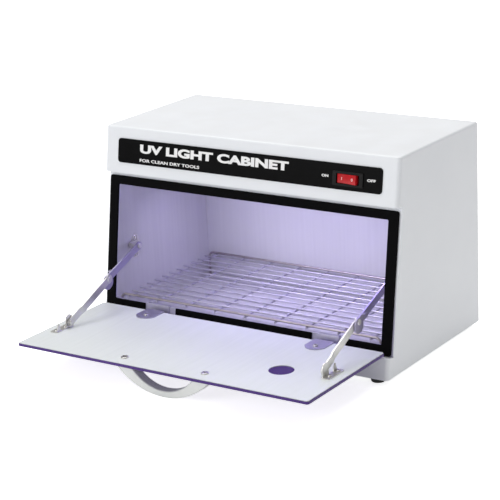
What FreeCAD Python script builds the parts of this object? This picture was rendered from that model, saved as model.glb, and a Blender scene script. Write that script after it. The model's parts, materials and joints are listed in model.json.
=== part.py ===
import FreeCAD, Part
import math
import os

os.makedirs("parts", exist_ok=True)

# Ultraviolet sterilizing cabinet with a drop-down door, millimetres.
# X runs along the cabinet's width, +Y to its back and +Z up. The origin is on the surface that the
# feet stand on, midway between the open door's front edge and the rear face of the power inlet.

# --- driving dimensions -------------------------------------------------------------------------
casing_width = 400.0
casing_height = 243.0
depth_bottom = 221.5
depth_top = 181.5
foot_height = 6.0
sheet = 1.2
liner_sheet = 1.0
corner_radius = 5.0
top_edge_radius = 3.0

ledge_level = 24.8
head_level = 190.9
frame_setback = 11.1
gasket_thickness = 3.0

opening_half_width = 184.6
opening_low = 37.1
opening_high = 176.0

chamber_half_width = 186.0
chamber_floor_z = 14.0
chamber_ceiling_z = 202.0
chamber_back_gap = 6.5

door_width = 389.5
door_length = 159.5
panel_thickness = 3.0
door_skin = 0.8
axis_depth = 2.9
axis_level = 27.2
axis_to_liner = 5.0
axis_to_door_edge = 2.1
inlet_flange = 2.0

# --- values that follow from them ---------------------------------------------------------------
half_width = casing_width / 2
lean = math.atan2(depth_bottom - depth_top, casing_height)
lean_sin = math.sin(lean)
lean_cos = math.cos(lean)
axis_y_from_front = axis_depth * lean_cos + axis_level * lean_sin
swing_reach = depth_bottom - axis_y_from_front + axis_to_door_edge + door_length
rear_y = (swing_reach - inlet_flange) / 2
front_bottom_y = rear_y - depth_bottom
base_z = foot_height
top_z = base_z + casing_height
axis_y = front_bottom_y + axis_y_from_front
axis_z = base_z - axis_depth * lean_sin + axis_level * lean_cos
liner_top_z = axis_z + axis_to_liner
panel_top_z = liner_top_z - door_skin
panel_bottom_z = panel_top_z - panel_thickness
door_back_y = axis_y - axis_to_door_edge
door_front_y = door_back_y - door_length
chamber_back_y = rear_y - chamber_back_gap
frame_back = frame_setback + sheet
gasket_face = frame_setback - gasket_thickness
far = 600.0
sides = {"left": -1, "right": 1}


def save(node, shape):
    """Writes one named piece."""
    shape.exportStep("parts/" + node + ".step")


def box(x0, x1, y0, y1, z0, z1):
    """A block between two opposite corners."""
    low = FreeCAD.Vector(min(x0, x1), min(y0, y1), min(z0, z1))
    return Part.makeBox(abs(x1 - x0), abs(y1 - y0), abs(z1 - z0), low)


def rod(radius, start, end):
    """A round bar between two points."""
    first = FreeCAD.Vector(*start)
    run = FreeCAD.Vector(*end) - first
    return Part.makeCylinder(radius, run.Length, first, run)


def fuse(shapes):
    """Joins shapes into one and merges the faces that line up."""
    if len(shapes) == 1:
        return shapes[0]
    return shapes[0].multiFuse(shapes[1:]).removeSplitter()


def group(shapes):
    """Keeps separate solids together in one piece."""
    return Part.makeCompound(shapes)


def leaned(shape):
    """Sets a piece drawn upright (x, depth behind the front, level up it) on the leaning front."""
    turned = shape.copy()
    turned.rotate(FreeCAD.Vector(0, 0, 0), FreeCAD.Vector(1, 0, 0), -math.degrees(lean))
    turned.translate(FreeCAD.Vector(0, front_bottom_y, base_z))
    return turned


def lean_point(x, depth, level):
    """The place in space of a point given by its depth behind the front and level up it."""
    y = front_bottom_y + depth * lean_cos + level * lean_sin
    z = base_z - depth * lean_sin + level * lean_cos
    return (x, y, z)


def mirrored(shape):
    """The same shape on the other side of the middle plane."""
    return shape.mirror(FreeCAD.Vector(0, 0, 0), FreeCAD.Vector(1, 0, 0))


def on_side(shape, side):
    """A shape drawn for the right-hand side, put on the named side."""
    if sides[side] > 0:
        return shape
    return mirrored(shape)


def edges_along(shape, direction):
    """The straight edges of a shape that run along a direction."""
    wanted = FreeCAD.Vector(*direction)
    wanted.normalize()
    found = []
    for edge in shape.Edges:
        if isinstance(edge.Curve, Part.Line) and abs(edge.Curve.Direction.dot(wanted)) > 0.999:
            found.append(edge)
    return found


def rounded_block(x0, x1, y0, y1, z0, z1, radius, direction):
    """A block whose edges along one direction are rounded."""
    block = box(x0, x1, y0, y1, z0, z1)
    return block.makeFillet(radius, edges_along(block, direction))


def prism_x(points, x0, x1):
    """A straight-sided outline in the YZ plane, extruded along X."""
    corners = [FreeCAD.Vector(x0, y, z) for y, z in points]
    face = Part.Face(Part.makePolygon(corners + [corners[0]]))
    return face.extrude(FreeCAD.Vector(x1 - x0, 0, 0))


def pan_screw(place, direction, radius, head_radius, head_height, shank):
    """A cross-head screw whose head sits on a face at place and faces along direction."""
    out = FreeCAD.Vector(*direction)
    out.normalize()
    seat = FreeCAD.Vector(*place)
    head = Part.makeCylinder(head_radius, head_height, seat, out)
    rim = [edge for edge in head.Edges if isinstance(edge.Curve, Part.Circle)]
    outer = max(rim, key=lambda edge: edge.Curve.Center.dot(out))
    head = head.makeFillet(head_height * 0.55, [outer])
    stem = Part.makeCylinder(radius, shank, seat - out * shank, out)
    side = FreeCAD.Vector(1, 0, 0)
    if abs(out.x) > 0.9:
        side = FreeCAD.Vector(0, 1, 0)
    across = out.cross(side)
    turn = FreeCAD.Placement(seat + out * (head_height * 0.5), FreeCAD.Rotation(side, across, out))
    slot_half = head_radius * 0.55
    slot_thick = head_radius * 0.12
    cross_a = box(-slot_half, slot_half, -slot_thick, slot_thick, 0, head_height)
    cross_b = box(-slot_thick, slot_thick, -slot_half, slot_half, 0, head_height)
    recess = cross_a.fuse(cross_b)
    recess.Placement = turn
    return head.fuse(stem).cut(recess)


def hole(place, direction, radius, length):
    """A round cutter centred on place."""
    out = FreeCAD.Vector(*direction)
    out.normalize()
    start = FreeCAD.Vector(*place) - out * (length / 2)
    return Part.makeCylinder(radius, length, start, out)


# --- outer casing -------------------------------------------------------------------------------
def casing_block(inset, rear, bottom):
    """The casing's outer form, taken in by inset on its front, top and sides."""
    shift = inset / lean_cos
    top = top_z - inset
    front_at_top = front_bottom_y + (top - base_z) * math.tan(lean) + shift
    front_at_bottom = front_bottom_y + (bottom - base_z) * math.tan(lean) + shift
    half = half_width - inset
    outline = [(front_at_bottom, bottom), (front_at_top, top), (rear, top), (rear, bottom)]
    block = prism_x(outline, -half, half)
    block = block.makeFillet(corner_radius - inset, edges_along(block, (0, lean_sin, lean_cos)))
    rim = []
    for edge in block.Edges:
        in_top = edge.BoundBox.ZMin > top - 0.01
        if in_top and edge.BoundBox.YMin < rear - 0.01:
            rim.append(edge)
    return block.makeFillet(top_edge_radius - inset, rim)


# Screw sizes: shank radius, head radius, head height and shank length.
screw_hole_radius = 1.6
handle_screw_hole_radius = 2.1
leaf_screw_hole_radius = 1.3
panel_screw = (1.5, 3.0, 1.2, 4.0)
foot_screw = (1.5, 3.2, 1.8, 5.5)
inlet_screw = (1.5, 2.9, 1.1, 4.5)
handle_screw = (2.0, 4.3, 1.4, 9.0)
door_leaf_screw = (1.5, 3.1, 1.3, 4.2)
door_bracket_screw = (1.5, 2.8, 1.2, 4.2)
wall_bracket_screw = (1.5, 2.8, 1.4, 5.0)
fixed_leaf_screw = (1.2, 2.4, 0.9, 1.9)
through = 10.0

rear_flange = 12.0
flange_screw_inset = 6.5
flange_screw_drop = 7.0
flange_screw_levels = (20.0, 130.0)
switch_x = 137.0
switch_level = 216.2
switch_hole = (31.4, 14.6)
switch_tab_offset = 8.0
outer_block = casing_block(0, rear_y, base_z)
inner_block = casing_block(sheet, rear_y + 20, base_z - 5)
recess = leaned(box(-far, far, -20, frame_setback, ledge_level, head_level))
ledge_slab = leaned(box(-far, far, -20, frame_back, ledge_level - sheet, ledge_level))
head_slab = leaned(box(-far, far, -20, frame_back, head_level, head_level + sheet))
walls = outer_block.cut(inner_block).cut(recess)
ledge = outer_block.common(ledge_slab)
head_floor = outer_block.common(head_slab)
flange_slab = box(-far, far, rear_y - 2 * sheet, rear_y - sheet, base_z, far)
flange_gap = box(-half_width + rear_flange, half_width - rear_flange, 0, far, -far, top_z - rear_flange)
flange_ring = outer_block.common(flange_slab).cut(flange_gap)
casing = fuse([walls.cut(box(-far, far, rear_y - sheet, far, -far, far)), ledge, head_floor, flange_ring])
switch_cut = box(switch_x - switch_hole[0] / 2, switch_x + switch_hole[0] / 2, -10, 10,
                 switch_level - switch_hole[1] / 2, switch_level + switch_hole[1] / 2)
switch_cut = leaned(switch_cut)
casing = casing.cut(switch_cut)

back_screw_spots = []
flange_screw_x = half_width - flange_screw_inset
for x in (-flange_screw_x, 0, flange_screw_x):
    back_screw_spots.append((x, rear_y, top_z - flange_screw_drop))
for x in (-flange_screw_x, flange_screw_x):
    for level in flange_screw_levels:
        back_screw_spots.append((x, rear_y, base_z + level))
for spot in back_screw_spots:
    casing = casing.cut(hole(spot, (0, 1, 0), screw_hole_radius, 12))
save("outer_casing", casing)

# --- base plate and feet ------------------------------------------------------------------------
foot_x = 182.0
foot_low_radius = 7.6
foot_top_radius = 9.0
foot_recess_radius = 4.2
foot_recess = 3.0
base_lip_height = 5.0
foot_ys = {"front": front_bottom_y + 11.0, "rear": rear_y - 20.0}
base = inner_block.common(box(-far, far, -far, rear_y - 2 * sheet, base_z, base_z + sheet))
base_lip = inner_block.common(box(-far, far, rear_y - 3 * sheet, rear_y - 2 * sheet, base_z,
                             base_z + base_lip_height))
base = fuse([base, base_lip])
foot_screws = []
for row in foot_ys:
    for side in sides:
        foot_y = foot_ys[row]
        centre_x = sides[side] * foot_x
        low = FreeCAD.Vector(centre_x, foot_y, 0)
        foot = Part.makeCone(foot_low_radius, foot_top_radius, foot_height, low)
        bottom_rim = [e for e in foot.Edges if isinstance(e.Curve, Part.Circle) and e.CenterOfMass.z < 1]
        foot = foot.makeFillet(1.0, bottom_rim)
        foot = foot.cut(Part.makeCylinder(foot_recess_radius, foot_recess, low))
        foot = foot.cut(Part.makeCylinder(screw_hole_radius, foot_height, low))
        save(row + "_foot_" + side, foot)
        foot_screws.append(pan_screw((centre_x, foot_y, foot_recess), (0, 0, -1), *foot_screw))
        base = base.cut(hole((centre_x, foot_y, base_z), (0, 0, 1), screw_hole_radius, through))
save("base_plate", base)
save("foot_screws", group(foot_screws))

# --- back panel and power inlet -----------------------------------------------------------------
inlet_x = -146.0
inlet_z = 226.0
inlet_window = (27.0, 19.0)
inlet_pitch = 40.0
vent_count = 14
vent_pitch = 13.0
vent_half_width = 2.0
vent_low = 212.0
vent_high = 238.0
back = outer_block.common(box(-far, far, rear_y - sheet, rear_y, base_z, far))
for spot in back_screw_spots:
    back = back.cut(hole(spot, (0, 1, 0), screw_hole_radius, through))
vent_slots = []
for column in range(vent_count):
    vent_x = (column - (vent_count - 1) / 2) * vent_pitch
    vent_slots.append(rounded_block(vent_x - vent_half_width, vent_x + vent_half_width, rear_y - through,
                                    rear_y + through, vent_low, vent_high, vent_half_width - 0.1, (0, 1, 0)))
back = back.cut(group(vent_slots))
back = back.cut(box(inlet_x - inlet_window[0] / 2, inlet_x + inlet_window[0] / 2, rear_y - through,
                    rear_y + through, inlet_z - inlet_window[1] / 2, inlet_z + inlet_window[1] / 2))
inlet_screw_spots = [(inlet_x + end * inlet_pitch / 2, rear_y, inlet_z) for end in (-1, 1)]
for spot in inlet_screw_spots:
    back = back.cut(hole(spot, (0, 1, 0), screw_hole_radius, through))
save("back_panel", back)
back_screws = []
for spot in back_screw_spots:
    back_screws.append(pan_screw(spot, (0, 1, 0), *panel_screw))
save("back_panel_screws", group(back_screws))

flange_half = (25.0, 13.0)
flange_corner = 4.0
well_half = (13.2, 9.2)
well_depth = 22.0
socket_half = (11.6, 7.8)
socket_depth = 16.0
socket_chamfer = 3.0
inlet_face = rounded_block(inlet_x - flange_half[0], inlet_x + flange_half[0], rear_y, rear_y + inlet_flange,
                           inlet_z - flange_half[1], inlet_z + flange_half[1], flange_corner, (0, 1, 0))
inlet_well = box(inlet_x - well_half[0], inlet_x + well_half[0], rear_y - well_depth,
                 rear_y + inlet_flange / 2, inlet_z - well_half[1], inlet_z + well_half[1])
inlet = fuse([inlet_face, inlet_well])
socket_cut = box(inlet_x - socket_half[0], inlet_x + socket_half[0], rear_y - socket_depth, rear_y + through,
                 inlet_z - socket_half[1], inlet_z + socket_half[1])
upper_corners = [edge for edge in edges_along(socket_cut, (0, 1, 0)) if edge.CenterOfMass.z > inlet_z]
inlet = inlet.cut(socket_cut.makeChamfer(socket_chamfer, upper_corners))
blade_half = (1.0, 2.0)
blade_back_y = rear_y - 30.0
blade_front_y = rear_y - 2.0
blade_pitch = 7.0
live_blade_z = inlet_z - 3.6
earth_blade_z = inlet_z + 0.4
blades = []
for offset_x, blade_z in ((-blade_pitch, live_blade_z), (0.0, earth_blade_z), (blade_pitch, live_blade_z)):
    blade_x = inlet_x + offset_x
    blade = box(blade_x - blade_half[0], blade_x + blade_half[0], blade_back_y, blade_front_y,
                blade_z - blade_half[1], blade_z + blade_half[1])
    inlet = inlet.cut(blade)
    blades.append(blade)
inlet_screws = []
inlet_screw_seat = 0.8
inlet_sink_radius = 3.1
for x, y, z in inlet_screw_spots:
    inlet = inlet.cut(hole((x, y, z), (0, 1, 0), screw_hole_radius, through))
    inlet = inlet.cut(rod(inlet_sink_radius, (x, y + inlet_screw_seat, z), (x, y + through, z)))
    inlet_screws.append(pan_screw((x, y + inlet_screw_seat, z), (0, 1, 0), *inlet_screw))
save("power_inlet", inlet)
save("inlet_blades", group(blades))
save("inlet_screws", group(inlet_screws))

# --- front frame, chamber sheets ----------------------------------------------------------------
hinge_x = 117.0
hinge_width = 25.5
gasket_gap = 45.0
inner_half = half_width - sheet
frame = box(-inner_half, inner_half, frame_setback, frame_back, ledge_level, head_level)
frame_opening_half = chamber_half_width - 0.6
frame = frame.cut(box(-frame_opening_half, frame_opening_half, 0, far, opening_low, opening_high))
save("front_frame", leaned(frame))

chamber_front = leaned(box(-far, far, -far, frame_back, -far, far))
wrap_half = chamber_half_width + liner_sheet
wrap = box(-wrap_half, wrap_half, -far, chamber_back_y, chamber_floor_z - liner_sheet, chamber_ceiling_z)
hollow = box(-chamber_half_width, chamber_half_width, -2 * far, far, chamber_floor_z, far)
wrap = wrap.cut(hollow).cut(chamber_front)
lip = leaned(box(-chamber_half_width, chamber_half_width, frame_back, frame_back + liner_sheet, 0,
                 opening_low))
lip = lip.cut(box(-far, far, -far, far, -far, chamber_floor_z))
wrap = fuse([wrap, lip])
bracket_y = 27.5
bracket_z = 94.0
bracket_screw_reach = 10.7
bracket_screw_spots = {}
for side in sides:
    bracket_screw_spots[side] = []
    for step in (-1, 1):
        spot = (sides[side] * chamber_half_width, bracket_y, bracket_z + step * bracket_screw_reach)
        bracket_screw_spots[side].append(spot)
        wrap = wrap.cut(hole(spot, (1, 0, 0), screw_hole_radius, through))
inward = (0, lean_cos, -lean_sin)
leaf_screw_pitch = 18.0
leaf_screw_drop = 7.0
leaf_screw_spots = []
for side in sides:
    for step in (-1, 1):
        spot_x = sides[side] * hinge_x + step * leaf_screw_pitch / 2
        spot = lean_point(spot_x, frame_back + liner_sheet, opening_low - leaf_screw_drop)
        leaf_screw_spots.append(spot)
        wrap = wrap.cut(hole(spot, inward, leaf_screw_hole_radius, 2.6))
save("chamber_wrap", wrap)

back_wall = box(-wrap_half, wrap_half, chamber_back_y, chamber_back_y + liner_sheet,
                chamber_floor_z - liner_sheet, chamber_ceiling_z + liner_sheet)
save("chamber_back", back_wall)
ceiling = box(-wrap_half, wrap_half, -far, chamber_back_y, chamber_ceiling_z,
              chamber_ceiling_z + liner_sheet)
ceiling = ceiling.cut(chamber_front)
drop = leaned(box(-chamber_half_width, chamber_half_width, frame_back, frame_back + liner_sheet, head_level,
                  far))
drop = drop.cut(box(-far, far, -far, far, chamber_ceiling_z + liner_sheet, 2 * far))
save("chamber_ceiling", fuse([ceiling, drop]))

# --- lamp, reflector and holders ----------------------------------------------------------------
lamp_y = 52.0
lamp_z = 187.0
lamp_radius = 7.75
glass_radius = 7.4
lamp_half = 144.0
cap_length = 9.0
pin_reach = 7.0
pin_spacing = 5.0
pin_radius = 1.1
pin_hole_radius = 1.2
glass_half = lamp_half - cap_length
save("uv_lamp_tube", rod(glass_radius, (-glass_half, lamp_y, lamp_z), (glass_half, lamp_y, lamp_z)))
holder_start = lamp_half + 0.3
holder_end = holder_start + 12.0
holder_half_depth = 10.0
holder_low = lamp_z - 11.0
holder_corner = 4.0
foot_end = holder_start + 22.0
foot_half_depth = 8.0
foot_sheet = 2.0
caps = []
for side in sides:
    sign = sides[side]
    cap = rod(lamp_radius, (sign * glass_half, lamp_y, lamp_z), (sign * lamp_half, lamp_y, lamp_z))
    holder = rounded_block(holder_start, holder_end, lamp_y - holder_half_depth, lamp_y + holder_half_depth,
                           holder_low, chamber_ceiling_z - foot_sheet / 2, holder_corner, (1, 0, 0))
    holder_foot = box(holder_start, foot_end, lamp_y - foot_half_depth, lamp_y + foot_half_depth,
                      chamber_ceiling_z - foot_sheet, chamber_ceiling_z)
    holder = on_side(fuse([holder, holder_foot]), side)
    for step in (-1, 1):
        pin_y = lamp_y + step * pin_spacing / 2
        start = (sign * lamp_half, pin_y, lamp_z)
        cap = cap.fuse(rod(pin_radius, start, (sign * (lamp_half + pin_reach), pin_y, lamp_z)))
        holder = holder.cut(rod(pin_hole_radius, start, (sign * (lamp_half + pin_reach + 1), pin_y, lamp_z)))
    caps.append(cap)
    save("lamp_socket_" + side, holder)
save("uv_lamp_caps", group(caps))
wing = 30.0
flat_half = 12.0
drop_height = 12.0
reflector_sheet = 0.9
wing_z = chamber_ceiling_z - drop_height
reflector_outline = [(lamp_y - flat_half - wing, wing_z),
                     (lamp_y - flat_half, chamber_ceiling_z),
                     (lamp_y + flat_half, chamber_ceiling_z),
                     (lamp_y + flat_half + wing, wing_z),
                     (lamp_y + flat_half + wing, wing_z - reflector_sheet),
                     (lamp_y + flat_half, chamber_ceiling_z - reflector_sheet),
                     (lamp_y - flat_half, chamber_ceiling_z - reflector_sheet),
                     (lamp_y - flat_half - wing, wing_z - reflector_sheet)]
save("lamp_reflector", prism_x(reflector_outline, -lamp_half, lamp_half))

# --- electrical parts above the chamber ---------------------------------------------------------
bay_floor = chamber_ceiling_z + liner_sheet
ballast_x = -46.0
ballast_y = 123.0
core_half = (36.0, 18.0)
core_height = 30.0
coil_half = (48.0, 12.0)
coil_low = bay_floor + 5.0
coil_high = bay_floor + 25.0
ballast_tab_half = (58.0, 7.0)
tab_thickness = 1.5
core = rounded_block(ballast_x - core_half[0], ballast_x + core_half[0], ballast_y - core_half[1],
                     ballast_y + core_half[1], bay_floor, bay_floor + core_height, 1.5, (1, 0, 0))
coil = rounded_block(ballast_x - coil_half[0], ballast_x + coil_half[0], ballast_y - coil_half[1],
                     ballast_y + coil_half[1], coil_low, coil_high, 5.0, (1, 0, 0))
tabs = box(ballast_x - ballast_tab_half[0], ballast_x + ballast_tab_half[0], ballast_y - ballast_tab_half[1],
           ballast_y + ballast_tab_half[1], bay_floor, bay_floor + tab_thickness)
save("ballast", fuse([core, coil, tabs]))

starter_x = 60.0
starter_y = 122.0
starter_z = bay_floor + 14.0
starter_radius = 10.5
starter_length = 34.0
cup_radius = 13.0
cup_rim_x = starter_x + 8.0
cup_back_x = starter_x - 14.0
cup_foot_width = 12.0
starter_start = (starter_x, starter_y, starter_z)
save("starter", rod(starter_radius, starter_start, (starter_x + starter_length, starter_y, starter_z)))
cup = rod(cup_radius, (cup_back_x, starter_y, starter_z), (cup_rim_x, starter_y, starter_z))
cup = cup.cut(rod(starter_radius + 0.1, starter_start, (cup_rim_x + 1, starter_y, starter_z)))
cup_foot = box(cup_back_x, cup_back_x + cup_foot_width, starter_y - cup_foot_width,
               starter_y + cup_foot_width, bay_floor, starter_z)
save("starter_holder", fuse([cup, cup_foot]))

terminal_pitch = 10.0
terminal_count = 4
terminal_x = -130.0
terminal_y = 137.0
terminal_half_depth = 9.0
terminal_height = 12.0
clamp_z = bay_floor + 4.5
terminal_half = terminal_count * terminal_pitch / 2
terminals = []
for index in range(terminal_count):
    terminals.append(terminal_x + (index - (terminal_count - 1) / 2) * terminal_pitch)
block = box(terminal_x - terminal_half, terminal_x + terminal_half, terminal_y - terminal_half_depth,
            terminal_y + terminal_half_depth, bay_floor, bay_floor + terminal_height)
for x in terminals:
    block = block.cut(rod(2.6, (x, terminal_y, bay_floor + 6), (x, terminal_y, far)))
    block = block.cut(rod(1.9, (x, terminal_y - through, clamp_z), (x, terminal_y + through, clamp_z)))
save("terminal_block", block)


def lead(points, radius=1.1):
    """An insulated lead through a row of points, rounded at its turns."""
    pieces = []
    for start, end in zip(points, points[1:]):
        pieces.append(rod(radius, start, end))
    for corner in points[1:-1]:
        pieces.append(Part.makeSphere(radius, FreeCAD.Vector(*corner)))
    return fuse(pieces)


high_z = bay_floor + 20.0
coil_lead_z = coil_low + 2.0
block_back_y = terminal_y + terminal_half_depth + 1.6
block_front_y = terminal_y - terminal_half_depth - 1.6
inlet_lead_y = blade_back_y - 0.2
bend_y = 152.0
switch_back = lean_point(switch_x, 24.5, switch_level)
switch_lead_y = switch_back[1] + 3.0
switch_lead_z = switch_back[2]
left_blade_x = switch_x - switch_tab_offset
right_blade_x = switch_x + switch_tab_offset
coil_left_x = ballast_x - coil_half[0] - 1.2
coil_right_x = ballast_x + coil_half[0] + 1.2
leads = []
for sign, clamp_x in ((-1, terminals[0]), (1, terminals[1])):
    lead_x = inlet_x + sign * blade_pitch
    leads.append(lead([(lead_x, inlet_lead_y, live_blade_z), (lead_x, bend_y, live_blade_z),
                       (clamp_x, block_back_y, clamp_z)]))
leads.append(lead([(terminals[2], block_front_y, clamp_z), (terminals[2], 95, clamp_z),
                   (left_blade_x, 80, clamp_z), (left_blade_x, 40, high_z),
                   (left_blade_x, switch_lead_y, switch_lead_z)]))
leads.append(lead([(terminals[3], block_front_y, clamp_z), (-100, ballast_y, clamp_z + 5),
                   (coil_left_x, ballast_y, coil_lead_z)]))
leads.append(lead([(coil_right_x, ballast_y, coil_lead_z), (25, 100, clamp_z + 4),
                   (right_blade_x, 84, clamp_z + 4), (right_blade_x, 44, high_z),
                   (right_blade_x, switch_lead_y, switch_lead_z)]))
leads.append(lead([(cup_back_x - 1.2, starter_y, starter_z), (30, starter_y, clamp_z), (30, 70, clamp_z + 8),
                   (-150, 60, clamp_z)]))
save("wiring", group(leads))

# --- control plate and switch -------------------------------------------------------------------
plate_half = 179.8
plate_low = 203.8
plate_high = 232.6
plate_depth = 1.0
plate_corner = 4.0
plate = rounded_block(-plate_half, plate_half, -plate_depth, 0, plate_low, plate_high, plate_corner,
                      (0, 1, 0))
cut_half_x = switch_hole[0] / 2
cut_half_z = switch_hole[1] / 2
plate = plate.cut(box(switch_x - cut_half_x, switch_x + cut_half_x, -10, 10,
                      switch_level - cut_half_z, switch_level + cut_half_z))
save("control_plate", leaned(plate))

bezel_half = (19.2, 8.0)
bezel_front = -plate_depth - 1.4
bezel_corner = 1.2
window_half = (14.6, 5.6)
window_depth = 11.0
body_half = (15.3, 7.0)
body_depth = 17.0
bezel = rounded_block(switch_x - bezel_half[0], switch_x + bezel_half[0], bezel_front, -plate_depth,
                      switch_level - bezel_half[1], switch_level + bezel_half[1], bezel_corner, (0, 1, 0))
well = box(switch_x - body_half[0], switch_x + body_half[0], bezel_front + 0.5, body_depth,
           switch_level - body_half[1], switch_level + body_half[1])
switch = fuse([bezel, well])
switch = switch.cut(box(switch_x - window_half[0], switch_x + window_half[0], -through, window_depth,
                        switch_level - window_half[1], switch_level + window_half[1]))
save("switch_body", leaned(switch))
terminal_tab = (0.4, 7.0, 2.4)
switch_tabs = []
for tab_x in (switch_x - switch_tab_offset, switch_x + switch_tab_offset):
    switch_tabs.append(box(tab_x - terminal_tab[0], tab_x + terminal_tab[0], body_depth,
                           body_depth + terminal_tab[1], switch_level - terminal_tab[2],
                           switch_level + terminal_tab[2]))
save("switch_terminals", leaned(group(switch_tabs)))

rocker_tilt = 10.0
rocker_pivot_depth = 3.0
rocker_half = 13.0
rocker_gap = 0.4
rocker_outline = [(-rocker_half, -3.4), (-rocker_half * 0.5, -2.4), (0, -2.0), (rocker_half * 0.5, -2.4),
                  (rocker_half, -3.4), (rocker_half - 0.6, 3.2), (4.5, 7.4), (-4.5, 7.4),
                  (-rocker_half + 0.6, 3.2)]
rocker_corners = [FreeCAD.Vector(switch_x + x, depth, switch_level - window_half[1] + rocker_gap)
                  for x, depth in rocker_outline]
rocker = Part.Face(Part.makePolygon(rocker_corners + [rocker_corners[0]]))
rocker = rocker.extrude(FreeCAD.Vector(0, 0, 2 * (window_half[1] - rocker_gap)))
rocker.rotate(FreeCAD.Vector(switch_x, rocker_pivot_depth, 0), FreeCAD.Vector(0, 0, 1), -rocker_tilt)
save("switch_rocker", leaned(rocker))

# --- door gasket --------------------------------------------------------------------------------
gasket_half = 197.2
gasket_low = 25.7
gasket_high = 186.7
gasket_outer_corner = 3.0
gasket_inner_corner = 1.5
ring = rounded_block(-gasket_half, gasket_half, gasket_face, frame_setback, gasket_low, gasket_high,
                     gasket_outer_corner, (0, 1, 0))
ring = ring.cut(rounded_block(-opening_half_width, opening_half_width, -far, far, opening_low, opening_high,
                              gasket_inner_corner, (0, 1, 0)))
for side in sides:
    centre_x = sides[side] * hinge_x
    ring = ring.cut(box(centre_x - gasket_gap / 2, centre_x + gasket_gap / 2, 0, 20, 0, opening_low + 5))
save("door_gasket", leaned(ring))

# --- door ---------------------------------------------------------------------------------------
door_half = door_width / 2
stay_end = (-120.5, 43.5)
window_x = 122.0
window_y = -125.5
window_radius = 14.2
handle_y = -171.5
handle_screw_x = 54.0
door_leaf_screw_reach = 20.5
leaf_sheet = 1.0
screw_seat_z = liner_top_z + leaf_sheet
panel_corner = 3.0
skin_inset = 0.8
bracket_screw_x = 178.6
# The same stay bracket is used on both sides, so its long end points to the front on the left side and
# to the back on the right side.
bracket_aim = {"left": -1, "right": 1}
bracket_screw_runs = (1.5, 18.0)
panel = rounded_block(-door_half, door_half, door_front_y, door_back_y, panel_bottom_z, panel_top_z,
                      panel_corner, (0, 0, 1))
skin = rounded_block(-door_half + skin_inset, door_half - skin_inset, door_front_y + skin_inset,
                     door_back_y - skin_inset, panel_top_z, liner_top_z, panel_corner - 0.6, (0, 0, 1))
skin = skin.cut(hole((window_x, window_y, liner_top_z), (0, 0, 1), window_radius, through))
door_screw_spots = {"handle": [], "leaf": [], "bracket": []}
door_hole_radii = {"handle": handle_screw_hole_radius, "leaf": screw_hole_radius,
                   "bracket": screw_hole_radius}
for side in sides:
    sign = sides[side]
    door_screw_spots["handle"].append((sign * handle_screw_x, handle_y, liner_top_z))
    door_screw_spots["leaf"].append((sign * hinge_x, axis_y - door_leaf_screw_reach, screw_seat_z))
    for run in bracket_screw_runs:
        spot_y = stay_end[0] + bracket_aim[side] * run
        door_screw_spots["bracket"].append((sign * bracket_screw_x, spot_y, screw_seat_z))
for kind, spots in door_screw_spots.items():
    for spot in spots:
        cutter = hole((spot[0], spot[1], liner_top_z), (0, 0, 1), door_hole_radii[kind], 2 * through)
        panel = panel.cut(cutter)
        skin = skin.cut(cutter)
save("door_panel", panel)
save("door_liner", skin)
door_screw_sizes = {"handle": handle_screw, "leaf": door_leaf_screw, "bracket": door_bracket_screw}
door_screw_nodes = {"handle": "handle_screws", "leaf": "door_leaf_screws", "bracket": "door_bracket_screws"}
for kind in door_screw_spots:
    screws = [pan_screw(spot, (0, 0, 1), *door_screw_sizes[kind]) for spot in door_screw_spots[kind]]
    save(door_screw_nodes[kind], group(screws))

handle_outer_half = 66.0
handle_inner_half = 43.5
handle_low = 2.0
handle_bar = 7.6
handle_depth = 13.0
handle_softness = 1.6
front_y = handle_y - handle_depth / 2
outer_arc = Part.Arc(FreeCAD.Vector(-handle_outer_half, front_y, panel_bottom_z),
                     FreeCAD.Vector(0, front_y, handle_low),
                     FreeCAD.Vector(handle_outer_half, front_y, panel_bottom_z)).toShape()
inner_arc = Part.Arc(FreeCAD.Vector(handle_inner_half, front_y, panel_bottom_z),
                     FreeCAD.Vector(0, front_y, handle_low + handle_bar),
                     FreeCAD.Vector(-handle_inner_half, front_y, panel_bottom_z)).toShape()
foot_lines = []
for sign in (1, -1):
    start = FreeCAD.Vector(sign * handle_outer_half, front_y, panel_bottom_z)
    end = FreeCAD.Vector(sign * handle_inner_half, front_y, panel_bottom_z)
    foot_lines.append(Part.makeLine(start, end))
outline = Part.Wire([outer_arc, foot_lines[0], inner_arc, foot_lines[1]])
handle = Part.Face(outline).extrude(FreeCAD.Vector(0, handle_depth, 0))
handle_rims = [edge for edge in handle.Edges if isinstance(edge.Curve, Part.Circle)]
handle = handle.makeFillet(handle_softness, handle_rims)
for spot in door_screw_spots["handle"]:
    handle = handle.cut(hole((spot[0], spot[1], panel_bottom_z), (0, 0, 1), handle_screw_hole_radius, 14))
save("door_handle", handle)

# --- hinges -------------------------------------------------------------------------------------
barrel_radius = 1.6
knuckle_half = 5.7
knuckle_gap = 0.3
barrel_gap = 0.35
hinge_pin_radius = 0.8
pin_clearance = 0.05
nose_centre = 19.0
tail_length = 12.0


def ring_at(radius, x0, x1):
    """A round bar on the door's axis."""
    return rod(radius, (x0, axis_y, axis_z), (x1, axis_y, axis_z))


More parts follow.
